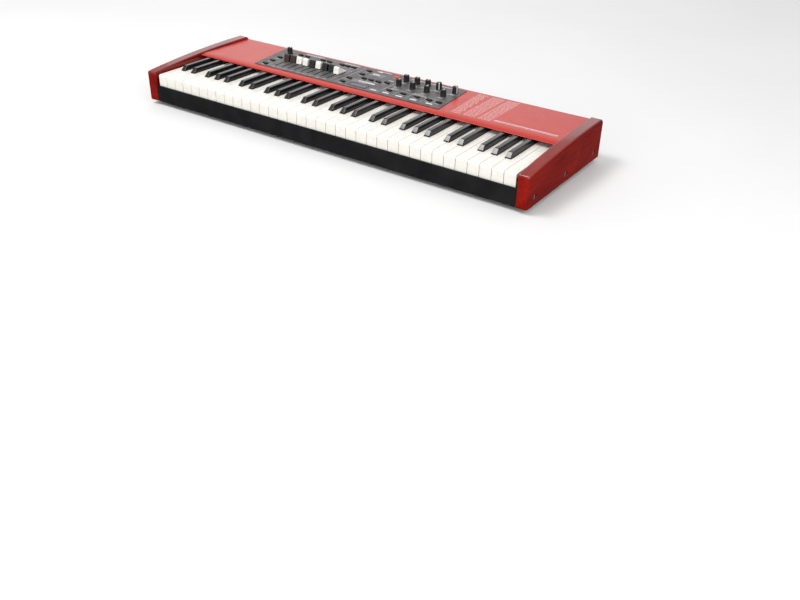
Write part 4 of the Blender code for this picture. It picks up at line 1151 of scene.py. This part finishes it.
def build_rocker():
    """Power switch rocker: two leaning faces with a rounded dip between them, and a plain bar and ring."""
    low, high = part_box("power_rocker")
    switch_x = middle_of("power_rocker")[0]
    pivot = next(joint["pos_m"] for joint in frame["joints"] if joint["child"] == "power_rocker")
    tilt = math.radians(7)

    def leaned(y, z):
        return (
            pivot[1] + y * math.cos(tilt) + z * math.sin(tilt),
            pivot[2] - y * math.sin(tilt) + z * math.cos(tilt),
        )

    front = [leaned(0.0048 + 0.0012 * (step / 8) ** 2, 0.0100 * step / 8) for step in range(-8, 9)]
    back = [leaned(-0.0020, 0.0080), leaned(-0.0035, 0.0), leaned(-0.0020, -0.0080)]
    bm = ease(prism_mesh(front + back, "X", low.x, high.x), 0.0004, 3, 40.0)
    add_piece("rocker", bm, "plastic", "power_rocker", replaces=["power_rocker"])
    bar_y, bar_z = leaned(0.00545, 0.0062)
    mark = prism_mesh(rectangle(switch_x, bar_z, 0.0008, 0.0040), "Y", bar_y - 0.0004, bar_y + 0.00025)
    add_piece("rocker_bar", mark, "white", "power_rocker")
    ring_y, ring_z = leaned(0.00535, -0.0060)
    ring = finished("rocker_ring", ring_mesh(0.0013, 0.0019, 0.0004, 32, 0, 0.0001), "white")
    at = (switch_x, ring_y - 0.0001, ring_z)
    turn = (-math.pi / 2 - tilt, 0.0, 0.0)
    place("rocker_ring", ring, "power_rocker", at, turn)


# ---------------------------------------------------------------- nodes kept as they are
def finish_kept_nodes():
    kept = {
        "bottom_pan": "black_steel",
        "key_frame": "zinc",
        "key_felt_strip": "felt",
        "key_contact_board": "circuit",
        "contact_rubber_strip": "rubber",
        "panel_board": "circuit",
        "main_board": "circuit",
        "power_supply": "zinc",
        "jack_board": "plastic",
        "power_inlet": "plastic",
    }
    for name, surface in kept.items():
        node = frame["nodes"][name]
        node.data.materials.clear()
        node.data.materials.append(FINISH[surface])


# ---------------------------------------------------------------- camera, floor and light
def build_camera():
    azimuth = math.radians(34.124)
    elevation = math.radians(32.13)
    roll = math.radians(1.2)
    back = Vector((
        math.sin(azimuth) * math.cos(elevation),
        -math.cos(azimuth) * math.cos(elevation),
        math.sin(elevation),
    ))
    level = Vector((math.cos(azimuth), math.sin(azimuth), 0.0))
    upright = back.cross(level)
    right = level * math.cos(roll) + upright * math.sin(roll)
    up = upright * math.cos(roll) - level * math.sin(roll)
    data = bpy.data.cameras.new("camera")
    data.sensor_width = 36.0
    data.lens = 38.98
    camera = add_object("camera", data)
    camera.matrix_world = Matrix((right, up, back)).transposed().to_4x4()
    camera.location = (1.0009, -1.3215, 0.63785)
    bpy.context.scene.camera = camera


def build_floor():
    half = 60.0
    bm = bmesh.new()
    corners = [(-half, -half, 0.0), (half, -half, 0.0), (half, half, 0.0), (-half, half, 0.0)]
    bm.faces.new([bm.verts.new(corner) for corner in corners])
    mesh = mesh_from("floor", bm)
    paint = mottled("pale_floor", (0.76, 0.76, 0.76), (0.78, 0.78, 0.78), 0.7, 2.0, 60.0, 0.0)
    mesh.materials.append(paint)
    floor = add_object("floor", mesh)
    floor.visible_glossy = False


def add_softbox(name, at, target, size, power, colour=(1.0, 1.0, 1.0)):
    data = bpy.data.lights.new(name, "AREA")
    data.shape = "RECTANGLE"
    data.size, data.size_y = size
    data.energy = power
    data.color = colour
    lamp = add_object(name, data)
    lamp.location = at
    lamp.rotation_euler = (Vector(at) - Vector(target)).to_track_quat("Z", "Y").to_euler()
    lamp.visible_camera = False


def build_light():
    """An even sky that is dark only well below the horizon, and four soft lamps."""
    world = bpy.data.worlds.new("studio")
    world.use_nodes = True
    tree = world.node_tree
    background = tree.nodes["Background"]
    direction = tree.nodes.new("ShaderNodeTexCoord")
    height = tree.nodes.new("ShaderNodeSeparateXYZ")
    tree.links.new(direction.outputs["Generated"], height.inputs["Vector"])
    fade = new_node(tree, "ShaderNodeMapRange", {"From Min": -0.10, "From Max": -0.03, "To Min": 0.10})
    tree.links.new(height.outputs["Z"], fade.inputs["Value"])
    tree.links.new(fade.outputs["Result"], background.inputs["Color"])
    background.inputs["Strength"].default_value = 0.72
    scene = bpy.context.scene
    scene.world = world
    scene.view_settings.view_transform = "Standard"
    middle = (0.0, 0.0, 0.06)
    add_softbox("key_softbox", (-0.95, -1.05, 2.70), middle, (1.5, 0.7), 48.0)
    add_softbox("side_softbox", (2.4, -1.2, 1.3), middle, (1.5, 1.2), 24.0)
    add_softbox("front_softbox", (0.3, -3.2, 1.1), middle, (2.4, 1.0), 21.0)
    add_softbox("back_softbox", (-1.75, 2.50, 0.95), middle, (2.6, 1.3), 7.0)


build_cheeks()
build_cover()
build_cover_print()
build_slip()
build_feet()
build_keys()
build_plate()
build_panel_print()
build_lamps()
build_display()
build_drawbars()
build_knobs()
build_buttons()
build_connectors()
build_inlet()
build_rocker()
finish_kept_nodes()
build_camera()
build_floor()
build_light()
